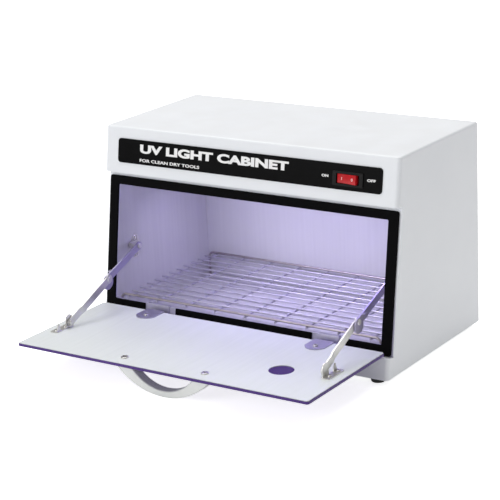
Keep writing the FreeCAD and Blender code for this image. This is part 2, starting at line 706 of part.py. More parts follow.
for side in sides:
    centre_x = sides[side] * hinge_x
    x0 = centre_x - hinge_width / 2
    x1 = centre_x + hinge_width / 2
    knuckle_low = centre_x - knuckle_half
    knuckle_high = centre_x + knuckle_half
    barrel_back_y = axis_y - barrel_radius + leaf_sheet
    nose_y = axis_y - nose_centre
    tongue = box(x0, x1, nose_y - 4.0, barrel_back_y, liner_top_z, liner_top_z + leaf_sheet)
    nose = Part.makeCylinder(hinge_width / 2, leaf_sheet, FreeCAD.Vector(centre_x, nose_y, liner_top_z))
    nose = nose.cut(box(x0 - 1, x1 + 1, axis_y - 3.0, far, 0, far))
    riser = box(x0, x1, axis_y - barrel_radius, barrel_back_y, axis_z, liner_top_z + leaf_sheet)
    left_knuckle = ring_at(barrel_radius, x0, knuckle_low - knuckle_gap)
    right_knuckle = ring_at(barrel_radius, knuckle_high + knuckle_gap, x1)
    leaf = fuse([tongue, nose, riser, left_knuckle, right_knuckle])
    leaf = leaf.cut(ring_at(barrel_radius + barrel_gap, knuckle_low - knuckle_gap,
                            knuckle_high + knuckle_gap))
    leaf = leaf.cut(ring_at(hinge_pin_radius + pin_clearance, x0 - 1, x1 + 1))
    leaf_screw_spot = (centre_x, axis_y - door_leaf_screw_reach, liner_top_z)
    leaf = leaf.cut(hole(leaf_screw_spot, (0, 0, 1), screw_hole_radius, through))
    save("hinge_door_leaf_" + side, leaf)

    under = leaned(box(x0, x1, axis_depth, frame_setback, axis_level - barrel_radius,
                       axis_level - barrel_radius + leaf_sheet))
    face = leaned(box(x0, x1, frame_setback - leaf_sheet, frame_setback, axis_level - barrel_radius,
                      opening_low + leaf_sheet))
    crown = leaned(box(x0, x1, frame_setback - leaf_sheet, frame_back + 2 * liner_sheet, opening_low,
                       opening_low + leaf_sheet))
    tail = leaned(box(x0, x1, frame_back + liner_sheet, frame_back + 2 * liner_sheet,
                      opening_low - tail_length, opening_low + leaf_sheet))
    fixed = fuse([under, face, crown, tail, ring_at(barrel_radius, knuckle_low, knuckle_high)])
    for span in ((x0 - 1, knuckle_low), (knuckle_high, x1 + 1)):
        fixed = fixed.cut(ring_at(barrel_radius + barrel_gap, span[0], span[1]))
    fixed = fixed.cut(ring_at(hinge_pin_radius, x0 - 1, x1 + 1))
    for spot in leaf_screw_spots:
        fixed = fixed.cut(hole(spot, inward, leaf_screw_hole_radius, 6))
    save("hinge_fixed_leaf_" + side, fixed)
    save("hinge_pin_" + side, ring_at(hinge_pin_radius, x0 - 0.6, x1 + 0.6))
leaf_screws = []
for x, y, z in leaf_screw_spots:
    seat = (x, y + leaf_sheet * lean_cos, z - leaf_sheet * lean_sin)
    leaf_screws.append(pan_screw(seat, inward, *fixed_leaf_screw))
save("hinge_leaf_screws", group(leaf_screws))

# --- door stays ---------------------------------------------------------------------------------
stay_wall = (17.5, 98.2)
stay_elbow = (-46.5, 74.5)
arm_sheet = 1.5
arm_half = 4.6
lobe_radius = 9.2
lobe_drop = 4.0
lobe_shift = 0.2
wall_eye_radius = 5.2
elbow_eye_radius = 5.6
door_eye_radius = 4.8
lower_arm_x = 170.0
arm_gap = 0.3
upper_arm_x = lower_arm_x + arm_sheet + arm_gap
joggle = 1.3
ear_gap = 0.6
ear_x = lower_arm_x + joggle + arm_sheet + ear_gap
ear_sheet = 1.2
rivet_head = 1.2
rivet_radius = 3.4
stay_pin_radius = 2.0


def bar_between(start, end, x0, x1, half):
    """A flat bar between two pivots given as (y, z)."""
    first = FreeCAD.Vector(x0, start[0], start[1])
    run = FreeCAD.Vector(0, end[0] - start[0], end[1] - start[1])
    across = FreeCAD.Vector(0, -run.z, run.y)
    across.normalize()
    corners = [first + across * half, first + run + across * half, first + run - across * half,
               first - across * half]
    return Part.Face(Part.makePolygon(corners + [corners[0]])).extrude(FreeCAD.Vector(x1 - x0, 0, 0))


def disc_at(pivot, x0, x1, radius):
    """A disc round a pivot given as (y, z)."""
    return rod(radius, (x0, pivot[0], pivot[1]), (x1, pivot[0], pivot[1]))


def rivet_dome(place, sign, height, radius):
    """A low domed rivet head that stands on a face at place and points along sign times X."""
    head = Part.makeCylinder(radius, height, FreeCAD.Vector(*place), FreeCAD.Vector(sign, 0, 0))
    rim = [edge for edge in head.Edges if isinstance(edge.Curve, Part.Circle)]
    outer = max(rim, key=lambda edge: sign * edge.Curve.Center.x)
    return head.makeFillet(height * 0.7, [outer])


upper_arm_outer_x = upper_arm_x + arm_sheet
upper_bar = bar_between(stay_wall, stay_elbow, upper_arm_x, upper_arm_outer_x, arm_half)
lobe_centre = (stay_elbow[0] + lobe_shift, stay_elbow[1] - lobe_drop)
lobe = disc_at(lobe_centre, upper_arm_x, upper_arm_outer_x, lobe_radius)
wall_eye = disc_at(stay_wall, upper_arm_x, upper_arm_outer_x, wall_eye_radius)
tab_reach = 4.5
tab_half = 2.6
tab_sheet = 1.4
tab_run = 9.0
tab_centre_y = stay_elbow[0] + tab_run
arm_slope = (stay_wall[1] - stay_elbow[1]) / (stay_wall[0] - stay_elbow[0])
tab_top_z = stay_elbow[1] + tab_run * arm_slope + arm_half
stop_tab = box(upper_arm_x, upper_arm_x + tab_reach, tab_centre_y - tab_half, tab_centre_y + tab_half,
               tab_top_z - tab_sheet, tab_top_z)
upper_arm = fuse([upper_bar, lobe, wall_eye, stop_tab])
upper_arm = upper_arm.cut(hole((upper_arm_x, stay_wall[0], stay_wall[1]), (1, 0, 0),
                               stay_pin_radius + pin_clearance, 20))

lower_run = math.hypot(stay_end[0] - stay_elbow[0], stay_end[1] - stay_elbow[1])
joggle_start = lower_run - 25.0
joggle_end = joggle_start + 5.0
strip_overrun = 7.0
strip_end = lower_run + strip_overrun
side_outline = [(-strip_overrun, 0), (joggle_start, 0), (joggle_end, joggle), (strip_end, joggle),
                (strip_end, joggle + arm_sheet), (joggle_end, joggle + arm_sheet),
                (joggle_start, arm_sheet), (-strip_overrun, arm_sheet)]
lower_angle = math.atan2(stay_end[1] - stay_elbow[1], stay_end[0] - stay_elbow[0])
side_corners = [FreeCAD.Vector(lower_arm_x + across, along, -10) for along, across in side_outline]
strip = Part.Face(Part.makePolygon(side_corners + [side_corners[0]])).extrude(FreeCAD.Vector(0, 0, 20))
strip.rotate(FreeCAD.Vector(0, 0, 0), FreeCAD.Vector(1, 0, 0), math.degrees(lower_angle))
strip.translate(FreeCAD.Vector(0, stay_elbow[0], stay_elbow[1]))
cutter_span = (lower_arm_x - 5, lower_arm_x + 10)
lower_bar = bar_between(stay_elbow, stay_end, *cutter_span, arm_half)
elbow_eye = disc_at(stay_elbow, *cutter_span, elbow_eye_radius)
door_eye = disc_at(stay_end, *cutter_span, door_eye_radius)
lower_arm = strip.common(fuse([lower_bar, elbow_eye, door_eye]))
lower_arm = lower_arm.cut(hole((lower_arm_x, stay_end[0], stay_end[1]), (1, 0, 0),
                               stay_pin_radius + pin_clearance, 20))

oval_half = (8.0, 15.0)
oval = disc_at((bracket_y, bracket_z), chamber_half_width - sheet, chamber_half_width, oval_half[0])
oval_stretch = oval_half[1] / oval_half[0]
stretch = FreeCAD.Matrix()
stretch.A33 = oval_stretch
stretch.A34 = bracket_z * (1 - oval_stretch)
oval = oval.transformGeometry(stretch)
post_face_x = upper_arm_outer_x + arm_gap
web_sheet = 3.0
web_half = 3.6
web_x = chamber_half_width - sheet - web_sheet
post = disc_at(stay_wall, post_face_x, web_x, rivet_radius)
web = box(web_x, web_x + web_sheet, stay_wall[0], bracket_y + 2.0, stay_wall[1] - web_half,
          stay_wall[1] + web_half)
web_end = disc_at(stay_wall, web_x, web_x + web_sheet, web_half)
wall_pin = disc_at(stay_wall, upper_arm_x - arm_gap, post_face_x, stay_pin_radius)
wall_head = rivet_dome((upper_arm_x - arm_gap, stay_wall[0], stay_wall[1]), -1, rivet_head, rivet_radius)
wall_bracket = fuse([oval, web, web_end, post, wall_pin, wall_head])

pad_width = 10.0
pad_short_end = 8.0
pad_long_end = 24.0
pad_corner = 1.5
ear_half = 6.0
ear_rise = 3.5
lug_half = 4.0
lug_height = 9.0
lug_x = ear_x + 1.1
ear_centre = (stay_end[0], stay_end[1] + ear_rise)
door_head_x = lower_arm_x + joggle - arm_gap


def door_bracket(aim):
    """The right-hand stay bracket on the door, its long end pointing along aim times Y."""
    near_y = stay_end[0] - aim * pad_short_end
    far_y = stay_end[0] + aim * pad_long_end
    pad = rounded_block(ear_x, ear_x + pad_width, near_y, far_y, liner_top_z, liner_top_z + leaf_sheet,
                        pad_corner, (0, 0, 1))
    ear = box(ear_x, ear_x + ear_sheet, stay_end[0] - ear_half, stay_end[0] + ear_half, liner_top_z,
              ear_centre[1])
    ear_top = disc_at(ear_centre, ear_x, ear_x + ear_sheet, ear_half)
    pin = disc_at(stay_end, door_head_x, ear_x, stay_pin_radius)
    head = rivet_dome((door_head_x, stay_end[0], stay_end[1]), -1, rivet_head, rivet_radius)
    lug_y = stay_end[0] + aim * bracket_screw_runs[1]
    lug = prism_x([(lug_y - lug_half, liner_top_z), (lug_y + lug_half, liner_top_z),
                   (lug_y + 1.0, liner_top_z + lug_height), (lug_y - 1.0, liner_top_z + lug_height)],
                  lug_x, lug_x + ear_sheet)
    bracket = fuse([pad, ear, ear_top, pin, head, lug])
    for run in bracket_screw_runs:
        spot = (bracket_screw_x, stay_end[0] + aim * run, liner_top_z)
        bracket = bracket.cut(hole(spot, (0, 0, 1), screw_hole_radius, 2 * leaf_sheet + 2))
    return bracket


upper_rivet = rivet_dome((upper_arm_outer_x, stay_elbow[0], stay_elbow[1]), 1, rivet_head, rivet_radius)
lower_rivet = rivet_dome((lower_arm_x, stay_elbow[0], stay_elbow[1]), -1, rivet_head, rivet_radius)
bracket_screws = []
for side in sides:
    bracket = on_side(wall_bracket, side)
    for spot in bracket_screw_spots[side]:
        bracket = bracket.cut(hole(spot, (1, 0, 0), screw_hole_radius, through))
        seat = (spot[0] - sides[side] * sheet, spot[1], spot[2])
        bracket_screws.append(pan_screw(seat, (-sides[side], 0, 0), *wall_bracket_screw))
    save("stay_wall_bracket_" + side, bracket)
    save("stay_upper_arm_" + side, on_side(upper_arm, side))
    save("stay_lower_arm_" + side, on_side(lower_arm, side))
    save("stay_upper_rivet_" + side, on_side(upper_rivet, side))
    save("stay_lower_rivet_" + side, on_side(lower_rivet, side))
    save("stay_door_bracket_" + side, on_side(door_bracket(bracket_aim[side]), side))
save("stay_bracket_screws", group(bracket_screws))

# --- wire rack ----------------------------------------------------------------------------------
rail_radius = 1.5
wire_radius = 1.1
rack_half = 180.0
rack_front_y = -12.0
rack_back_y = chamber_back_y - 7.0
rail_z = 45.5
bend_radius = 7.0
leg_foot_z = chamber_floor_z + 0.05
weld = 0.35


def rack_rail(y):
    """A rail bent down at both ends into the rack's legs."""
    corner = bend_radius * (1 - math.sqrt(0.5))
    edges = []
    points = {}
    for sign in (-1, 1):
        points[sign] = [FreeCAD.Vector(sign * rack_half, y, leg_foot_z),
                        FreeCAD.Vector(sign * rack_half, y, rail_z - bend_radius),
                        FreeCAD.Vector(sign * (rack_half - corner), y, rail_z - corner),
                        FreeCAD.Vector(sign * (rack_half - bend_radius), y, rail_z)]
    edges.append(Part.makeLine(points[-1][0], points[-1][1]))
    edges.append(Part.Arc(points[-1][1], points[-1][2], points[-1][3]).toShape())
    edges.append(Part.makeLine(points[-1][3], points[1][3]))
    edges.append(Part.Arc(points[1][3], points[1][2], points[1][1]).toShape())
    edges.append(Part.makeLine(points[1][1], points[1][0]))
    path = Part.Wire(edges)
    section = Part.Wire(Part.makeCircle(rail_radius, points[-1][0], FreeCAD.Vector(0, 0, 1)))
    return path.makePipeShell([section], True, True)


run_z = rail_z - rail_radius - wire_radius
cross_z = rail_z - rail_radius + wire_radius - weld
run_overhang = 2.5
cross_overhang = 8.0
run_front_y = rack_front_y - run_overhang
run_back_y = rack_back_y + run_overhang
save("rack_rails", group([rack_rail(rack_front_y), rack_rail(rack_back_y)]))
run_wires = 9
run_pitch = 42.0
rack_wires = []
for index in range(run_wires):
    wire_x = (index - (run_wires - 1) / 2) * run_pitch
    rack_wires.append(rod(wire_radius, (wire_x, run_front_y, run_z), (wire_x, run_back_y, run_z)))
cross_wires = 11
cross_pitch = (rack_back_y - rack_front_y) / (cross_wires + 1)
cross_half = (run_wires - 1) / 2 * run_pitch + cross_overhang
for index in range(cross_wires):
    wire_y = rack_front_y + (index + 1) * cross_pitch
    rack_wires.append(rod(wire_radius, (-cross_half, wire_y, cross_z), (cross_half, wire_y, cross_z)))
save("rack_wires", rack_wires[0].multiFuse(rack_wires[1:]))

print("door axis", round(axis_y, 4), round(axis_z, 4), "liner face", round(liner_top_z, 4))
print("rear", round(rear_y, 4), "door front", round(door_front_y, 4))
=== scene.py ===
"""The looks of a benchtop ultraviolet sterilizing cabinet: finishes, lettering, fine pieces, studio."""

import json
import logging
import math
from dataclasses import dataclass, field
from enum import Enum

import bmesh
import bpy
from mathutils import Matrix, Quaternion, Vector
from mathutils.bvhtree import BVHTree


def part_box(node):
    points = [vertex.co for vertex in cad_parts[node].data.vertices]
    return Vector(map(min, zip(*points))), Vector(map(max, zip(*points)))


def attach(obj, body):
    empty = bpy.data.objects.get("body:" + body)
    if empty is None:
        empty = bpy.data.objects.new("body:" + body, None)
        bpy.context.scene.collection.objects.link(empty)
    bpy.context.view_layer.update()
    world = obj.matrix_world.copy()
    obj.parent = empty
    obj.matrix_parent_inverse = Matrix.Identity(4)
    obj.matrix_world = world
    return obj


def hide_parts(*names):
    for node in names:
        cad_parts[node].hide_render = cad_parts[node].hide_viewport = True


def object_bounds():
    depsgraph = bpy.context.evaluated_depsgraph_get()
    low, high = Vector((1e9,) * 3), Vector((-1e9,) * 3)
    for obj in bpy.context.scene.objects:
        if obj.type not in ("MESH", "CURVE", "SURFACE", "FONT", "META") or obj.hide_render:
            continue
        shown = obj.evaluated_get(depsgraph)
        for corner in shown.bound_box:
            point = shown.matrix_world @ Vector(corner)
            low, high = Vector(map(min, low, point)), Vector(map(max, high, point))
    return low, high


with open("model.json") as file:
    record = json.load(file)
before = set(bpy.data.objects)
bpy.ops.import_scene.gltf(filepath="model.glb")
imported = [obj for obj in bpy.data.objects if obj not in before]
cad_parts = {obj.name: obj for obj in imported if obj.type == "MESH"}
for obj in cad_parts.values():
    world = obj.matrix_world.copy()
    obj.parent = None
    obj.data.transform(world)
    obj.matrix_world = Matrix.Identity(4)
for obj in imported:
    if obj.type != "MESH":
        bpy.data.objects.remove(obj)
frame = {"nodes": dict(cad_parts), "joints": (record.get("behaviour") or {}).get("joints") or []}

CAD_LOW, CAD_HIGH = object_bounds()
MM = 0.001
LOG = logging.getLogger("cabinet")
MERGE_DISTANCE = 0.01 * MM
FLAT_ANGLE = 1.0

Tone = tuple[float, float, float]
Feeds = dict[str | int, object]

WHITE: Tone = (1.0, 1.0, 1.0)
WARM_DUST: Tone = (0.70, 0.68, 0.64)
GREY_DUST: Tone = (0.5, 0.49, 0.47)


# --- node trees ---------------------------------------------------------------------------------
def paint(tone: Tone) -> tuple[float, float, float, float]:
    """The opaque RGBA value of a tone."""
    return (*tone, 1.0)


class Graph:
    """Adds and joins the nodes of one node tree."""

    def __init__(self, tree: bpy.types.NodeTree) -> None:
        """Keeps the tree to work on.

        Args:
            tree: The tree of a material, a world or a node group.
        """
        self.tree = tree

    def add(self, kind: str, feeds: Feeds | None = None, **settings: object) -> bpy.types.Node:
        """Adds a node, sets its options and fills its inputs.

        Args:
            kind: The node's type name.
            feeds: What goes into each input: a socket to join, or a plain value.
            settings: The node's own options.

        Returns:
            The new node.
        """
        node = self.tree.nodes.new(kind)
        for name, value in settings.items():
            setattr(node, name, value)
        for key, value in (feeds or {}).items():
            if isinstance(value, bpy.types.NodeSocket):
                self.tree.links.new(value, node.inputs[key])
            else:
                node.inputs[key].default_value = value
        return node

    def blend(self, share: object, first: object, second: object) -> bpy.types.NodeSocket:
        """Mixes two colours.

        Args:
            share: How much of the second colour shows, a socket or a number.
            first: The colour at share 0.
            second: The colour at share 1.

        Returns:
            The mixed colour's socket.
        """
        mix = self.add("ShaderNodeMix", {0: share, 6: first, 7: second}, data_type="RGBA")
        return mix.outputs[2]

    def spread(self, value: bpy.types.NodeSocket, low: float, high: float,
               start: float = 0.0, end: float = 1.0) -> bpy.types.NodeSocket:
        """Maps a value from start..end to low..high.

        Args:
            value: The socket to map.
            low: What start becomes.
            high: What end becomes.
            start: The lowest value looked at.
            end: The highest value looked at.

        Returns:
            The mapped value's socket.
        """
        feeds = {"Value": value, "From Min": start, "From Max": end, "To Min": low, "To Max": high}
        return self.add("ShaderNodeMapRange", feeds).outputs[0]

    def times(self, first: object, second: object) -> bpy.types.NodeSocket:
        """Multiplies two values, each a socket or a number, and returns the product's socket."""
        return self.add("ShaderNodeMath", {0: first, 1: second}, operation="MULTIPLY").outputs[0]

    def dents(self, height: bpy.types.NodeSocket, depth: float) -> bpy.types.NodeSocket:
        """Turns a height from 0 to 1 into a surface normal.

        Args:
            height: The socket that holds the height.
            depth: The real depth of the relief, in metres.

        Returns:
            The normal's socket.
        """
        return self.add("ShaderNodeBump", {"Height": height, "Distance": depth, "Strength": 1.0}).outputs[0]


class Effect(Enum):
    """The surface effects that several finishes share."""

    SPECKLE = "speckle"
    STREAKS = "streaks"
    PEEL = "orange_peel"
    WEAR = "edge_wear"
    DUST = "dust"


class EffectShelf:
    """Builds each shared effect's node group once and hands it out."""

    def __init__(self) -> None:
        """Starts with no groups built."""
        self.built: dict[Effect, bpy.types.NodeTree] = {}

    def place(self, graph: Graph, effect: Effect, feeds: Feeds) -> bpy.types.NodeSocket:
        """Puts an effect into a material.

        Args:
            graph: The material's nodes.
            effect: Which effect.
            feeds: The group's inputs by name.

        Returns:
            The effect's output socket.
        """
        if effect not in self.built:
            self.built[effect] = getattr(self, effect.value)()
        node = graph.add("ShaderNodeGroup", node_tree=self.built[effect])
        for name, value in feeds.items():
            node.inputs[name].default_value = value
        return node.outputs[0]

    def begin(self, effect: Effect,
              inputs: dict[str, object]) -> tuple[Graph, bpy.types.Node, bpy.types.Node]:
        """Starts a group with named inputs and one output called Mask.

        Args:
            effect: The effect that the group holds.
            inputs: Each input's name and usual value; three numbers make a vector.

        Returns:
            The group's nodes, its input node and its output node.
        """
        tree = bpy.data.node_groups.new(effect.value, "ShaderNodeTree")
        for name, usual in inputs.items():
            kind = "NodeSocketVector" if isinstance(usual, tuple) else "NodeSocketFloat"
            tree.interface.new_socket(name, in_out="INPUT", socket_type=kind).default_value = usual
        tree.interface.new_socket("Mask", in_out="OUTPUT", socket_type="NodeSocketFloat")
        graph = Graph(tree)
        return graph, graph.add("NodeGroupInput"), graph.add("NodeGroupOutput")

    def speckle(self) -> bpy.types.NodeTree:
        """Soft cloudy patches, Size of them to the metre."""
        graph, inlet, outlet = self.begin(Effect.SPECKLE, {"Size": 60.0})
        place = graph.add("ShaderNodeTexCoord").outputs["Object"]
        clouds = graph.add("ShaderNodeTexNoise", {"Vector": place, "Scale": inlet.outputs["Size"],
                                                  "Detail": 4.0, "Roughness": 0.6})
        graph.tree.links.new(graph.spread(clouds.outputs[0], 0.0, 1.0, 0.3, 0.7), outlet.inputs[0])
        return graph.tree

    def streaks(self) -> bpy.types.NodeTree:
        """Brushed lines; Stretch holds how many cross a metre along each axis."""
        graph, inlet, outlet = self.begin(Effect.STREAKS, {"Stretch": (900.0, 20.0, 900.0)})
        place = graph.add("ShaderNodeTexCoord").outputs["Object"]
        stretched = graph.add("ShaderNodeVectorMath", {0: place, 1: inlet.outputs["Stretch"]},
                              operation="MULTIPLY").outputs[0]
        fine = graph.add("ShaderNodeTexNoise", {"Vector": stretched, "Scale": 1.0, "Detail": 2.0})
        broad = graph.add("ShaderNodeTexNoise", {"Vector": stretched, "Scale": 0.16, "Detail": 2.0})
        both = graph.blend(0.45, fine.outputs[0], broad.outputs[0])
        graph.tree.links.new(graph.spread(both, 0.0, 1.0, 0.36, 0.64), outlet.inputs[0])
        return graph.tree

    def orange_peel(self) -> bpy.types.NodeTree:
        """The fine dimples of a sprayed coat, Size of them to the metre."""
        graph, inlet, outlet = self.begin(Effect.PEEL, {"Size": 500.0})
        place = graph.add("ShaderNodeTexCoord").outputs["Object"]
        cells = graph.add("ShaderNodeTexVoronoi", {"Vector": place, "Scale": inlet.outputs["Size"]},
                          feature="SMOOTH_F1")
        graph.tree.links.new(graph.spread(cells.outputs[0], 0.0, 1.0, 0.1, 0.8), outlet.inputs[0])
        return graph.tree

    def edge_wear(self) -> bpy.types.NodeTree:
        """Rubbed edges: 1 on edges sharper than Radius, broken up by noise."""
        graph, inlet, outlet = self.begin(Effect.WEAR, {"Radius": 0.0012, "Size": 160.0})
        rounded = graph.add("ShaderNodeBevel", {"Radius": inlet.outputs["Radius"]}, samples=4)
        facing = graph.add("ShaderNodeNewGeometry").outputs["Normal"]
        turned = graph.add("ShaderNodeVectorMath", {0: rounded.outputs[0], 1: facing},
                           operation="DOT_PRODUCT")
        edge = graph.spread(turned.outputs["Value"], 1.0, 0.0, 0.86, 0.995)
        place = graph.add("ShaderNodeTexCoord").outputs["Object"]
        broken = graph.add("ShaderNodeTexNoise", {"Vector": place, "Scale": inlet.outputs["Size"],
                                                  "Detail": 5.0})
        patches = graph.spread(broken.outputs[0], 0.0, 1.0, 0.44, 0.6)
        graph.tree.links.new(graph.times(edge, patches), outlet.inputs[0])
        return graph.tree

    def dust(self) -> bpy.types.NodeTree:
        """A thin uneven film on whatever faces up, as thick as Amount."""
        graph, inlet, outlet = self.begin(Effect.DUST, {"Amount": 0.15})
        facing = graph.add("ShaderNodeNewGeometry").outputs["Normal"]
        up = graph.add("ShaderNodeSeparateXYZ", {0: facing}).outputs["Z"]
        lying = graph.spread(up, 0.0, 1.0, 0.5, 1.0)
        place = graph.add("ShaderNodeTexCoord").outputs["Object"]
        clouds = graph.add("ShaderNodeTexNoise", {"Vector": place, "Scale": 35.0, "Detail": 6.0})
        film = graph.times(lying, graph.spread(clouds.outputs[0], 0.0, 1.0, 0.35, 0.7))
        graph.tree.links.new(graph.times(film, inlet.outputs["Amount"]), outlet.inputs[0])
        return graph.tree


SHELF = EffectShelf()


# --- finishes -----------------------------------------------------------------------------------
@dataclass(frozen=True)
class Finish:
    """What every finish has: a name, its tone, a second tone for its patches, and its gloss."""

    name: str
    tone: Tone
    patch: Tone
    roughness: float = 0.4
    roughness_swing: float = 0.08

    def begin(self, plain: Feeds) -> tuple[bpy.types.Material, Graph, bpy.types.Node]:
        """Starts the material.

        Args:
            plain: The shader's inputs that are the same all over the surface.

        Returns:
            The material, its nodes and its shader node.
        """
        material = bpy.data.materials.new(self.name)
        material.use_nodes = True
        material.diffuse_color = paint(self.tone)
        graph = Graph(material.node_tree)
        shader = graph.tree.nodes["Principled BSDF"]
        for key, value in plain.items():
            shader.inputs[key].default_value = value
        return material, graph, shader

    def fill(self, graph: Graph, shader: bpy.types.Node, feeds: Feeds) -> None:
        """Joins what changes over the surface to the shader.

        Args:
            graph: The material's nodes.
            shader: Its shader node.
            feeds: A socket for each input that varies.
        """
        for key, socket in feeds.items():
            graph.tree.links.new(socket, shader.inputs[key])

    def gloss(self, graph: Graph, mask: bpy.types.NodeSocket) -> bpy.types.NodeSocket:
        """Roughness that swings about its middle with a mask."""
        return graph.spread(mask, self.roughness - self.roughness_swing,
                            self.roughness + self.roughness_swing)

    def material(self) -> bpy.types.Material:
        """Builds the material, and is given by each kind of finish."""
        raise NotImplementedError


@dataclass(frozen=True)
class PowderCoat(Finish):
    """Sprayed and baked paint: orange peel, a little dust on top, edges rubbed thin."""

    worn: Tone = (0.62, 0.63, 0.65)
    peel_size: float = 420.0
    peel_depth: float = 0.000012
    dust: float = 0.12
    wear_share: float = 0.45

    def material(self) -> bpy.types.Material:
        """Builds the material."""
        material, graph, shader = self.begin({"Coat Weight": 0.12, "Coat Roughness": 0.25})
        clouds = SHELF.place(graph, Effect.SPECKLE, {"Size": 9.0})
        colour = graph.blend(clouds, paint(self.tone), paint(self.patch))
        wear = SHELF.place(graph, Effect.WEAR, {"Radius": 0.0009, "Size": 210.0})
        colour = graph.blend(graph.times(wear, self.wear_share), colour, paint(self.worn))
        film = SHELF.place(graph, Effect.DUST, {"Amount": self.dust})
        colour = graph.blend(film, colour, paint(WARM_DUST))
        gloss = self.gloss(graph, SHELF.place(graph, Effect.SPECKLE, {"Size": 40.0}))
        peel = SHELF.place(graph, Effect.PEEL, {"Size": self.peel_size})
        normal = graph.dents(peel, self.peel_depth)
        self.fill(graph, shader, {"Base Color": colour, "Roughness": gloss, "Normal": normal})
        return material


@dataclass(frozen=True)
class BrushedMetal(Finish):
    """Metal sheet or strip with a brushed grain along one axis."""

    metallic: float = 1.0
    stretch: Tone = (700.0, 700.0, 14.0)
    grain_depth: float = 0.000006
    smudge: float = 0.25
    smudge_shade: float = 0.86

    def material(self) -> bpy.types.Material:
        """Builds the material."""
        material, graph, shader = self.begin({"Metallic": self.metallic})
        grain = SHELF.place(graph, Effect.STREAKS, {"Stretch": self.stretch})
        colour = graph.blend(grain, paint(self.tone), paint(self.patch))
        clouds = SHELF.place(graph, Effect.SPECKLE, {"Size": 16.0})
        darker = tuple(channel * self.smudge_shade for channel in self.patch)
        colour = graph.blend(graph.times(clouds, self.smudge), colour, paint(darker))
        gloss = self.gloss(graph, grain)
        normal = graph.dents(grain, self.grain_depth)
        self.fill(graph, shader, {"Base Color": colour, "Roughness": gloss, "Normal": normal})
        return material


@dataclass(frozen=True)
class LampLitCoat(Finish):
    """Painted sheet with painted violet lamp light on its lower part: lilac low down, its own tone higher up.
    """

    painted_violet_light_tone: Tone = (0.42, 0.40, 0.54)
    painted_light_full_below: float = 60 * MM
    painted_light_gone_above: float = 110 * MM
    peel_size: float = 420.0
    peel_depth: float = 0.000008

    def material(self) -> bpy.types.Material:
        """Builds the material."""
        material, graph, shader = self.begin({"Coat Weight": 0.1, "Coat Roughness": 0.3})
        clouds = SHELF.place(graph, Effect.SPECKLE, {"Size": 20.0})
        high = graph.blend(clouds, paint(self.tone), paint(self.patch))
        # painted violet lamp light: the lowest part of the sheet gets the lilac tone, which fades out going
        # up
        place = graph.add("ShaderNodeTexCoord").outputs["Object"]
        level = graph.add("ShaderNodeSeparateXYZ", {0: place}).outputs["Z"]
        share = graph.spread(level, 0.0, 1.0, self.painted_light_full_below, self.painted_light_gone_above)
        colour = graph.blend(share, paint(self.painted_violet_light_tone), high)
        gloss = self.gloss(graph, clouds)
        peel = SHELF.place(graph, Effect.PEEL, {"Size": self.peel_size})
        normal = graph.dents(peel, self.peel_depth)
        self.fill(graph, shader, {"Base Color": colour, "Roughness": gloss, "Normal": normal})
        return material


@dataclass(frozen=True)
class PlatedMetal(Finish):
    """Nickel, chrome or zinc plating on small pressed and turned parts."""

    tarnish: Tone = (0.33, 0.31, 0.29)
    tarnish_share: float = 0.12
    spot_size: float = 120.0
    pit_depth: float = 0.0000012

    def material(self) -> bpy.types.Material:
        """Builds the material."""
        material, graph, shader = self.begin({"Metallic": 1.0})
        clouds = SHELF.place(graph, Effect.SPECKLE, {"Size": self.spot_size})
        colour = graph.blend(clouds, paint(self.tone), paint(self.patch))
        spots = SHELF.place(graph, Effect.SPECKLE, {"Size": self.spot_size * 3.1})
        dull = graph.times(graph.spread(spots, 0.0, 1.0, 0.55, 1.0), self.tarnish_share)
        colour = graph.blend(dull, colour, paint(self.tarnish))
        gloss = self.gloss(graph, clouds)
        normal = graph.dents(spots, self.pit_depth)
        self.fill(graph, shader, {"Base Color": colour, "Roughness": gloss, "Normal": normal})
        return material


@dataclass(frozen=True)
class Plastic(Finish):
    """Moulded plastic, rubber or varnish: fine mould grain, rubbed edges, a little dust."""

    rubbed: Tone = (0.5, 0.5, 0.5)
    rub_share: float = 0.3
    grain_size: float = 900.0
    grain_depth: float = 0.00001
    dust: float = 0.08
    coat: float = 0.0
    sheen_level: float = 0.5

    def material(self) -> bpy.types.Material:
        """Builds the material."""
        material, graph, shader = self.begin({"Coat Weight": self.coat, "Coat Roughness": 0.08,
                                              "Specular IOR Level": self.sheen_level})
        clouds = SHELF.place(graph, Effect.SPECKLE, {"Size": 45.0})
        colour = graph.blend(clouds, paint(self.tone), paint(self.patch))
        wear = SHELF.place(graph, Effect.WEAR, {"Radius": 0.0005, "Size": 300.0})
        colour = graph.blend(graph.times(wear, self.rub_share), colour, paint(self.rubbed))
        film = SHELF.place(graph, Effect.DUST, {"Amount": self.dust})
        colour = graph.blend(film, colour, paint(GREY_DUST))
        gloss = self.gloss(graph, clouds)
        grain = SHELF.place(graph, Effect.SPECKLE, {"Size": self.grain_size})
        normal = graph.dents(grain, self.grain_depth)
        self.fill(graph, shader, {"Base Color": colour, "Roughness": gloss, "Normal": normal})
        return material


@dataclass(frozen=True)
class TintedAcrylic(Finish):
    """Clear coloured sheet with faint wiping marks."""

    transmission: float = 0.08
    refraction: float = 1.49
    wipe_depth: float = 0.000002
    sheen_level: float = 0.22

    def material(self) -> bpy.types.Material:
        """Builds the material."""
        plain = {"Transmission Weight": self.transmission, "IOR": self.refraction,
                 "Specular IOR Level": self.sheen_level}
        material, graph, shader = self.begin(plain)
        clouds = SHELF.place(graph, Effect.SPECKLE, {"Size": 12.0})
        colour = graph.blend(clouds, paint(self.tone), paint(self.patch))
        wipes = SHELF.place(graph, Effect.STREAKS, {"Stretch": (25.0, 160.0, 160.0)})
        gloss = self.gloss(graph, wipes)
        normal = graph.dents(wipes, self.wipe_depth)
        self.fill(graph, shader, {"Base Color": colour, "Roughness": gloss, "Normal": normal})
        return material


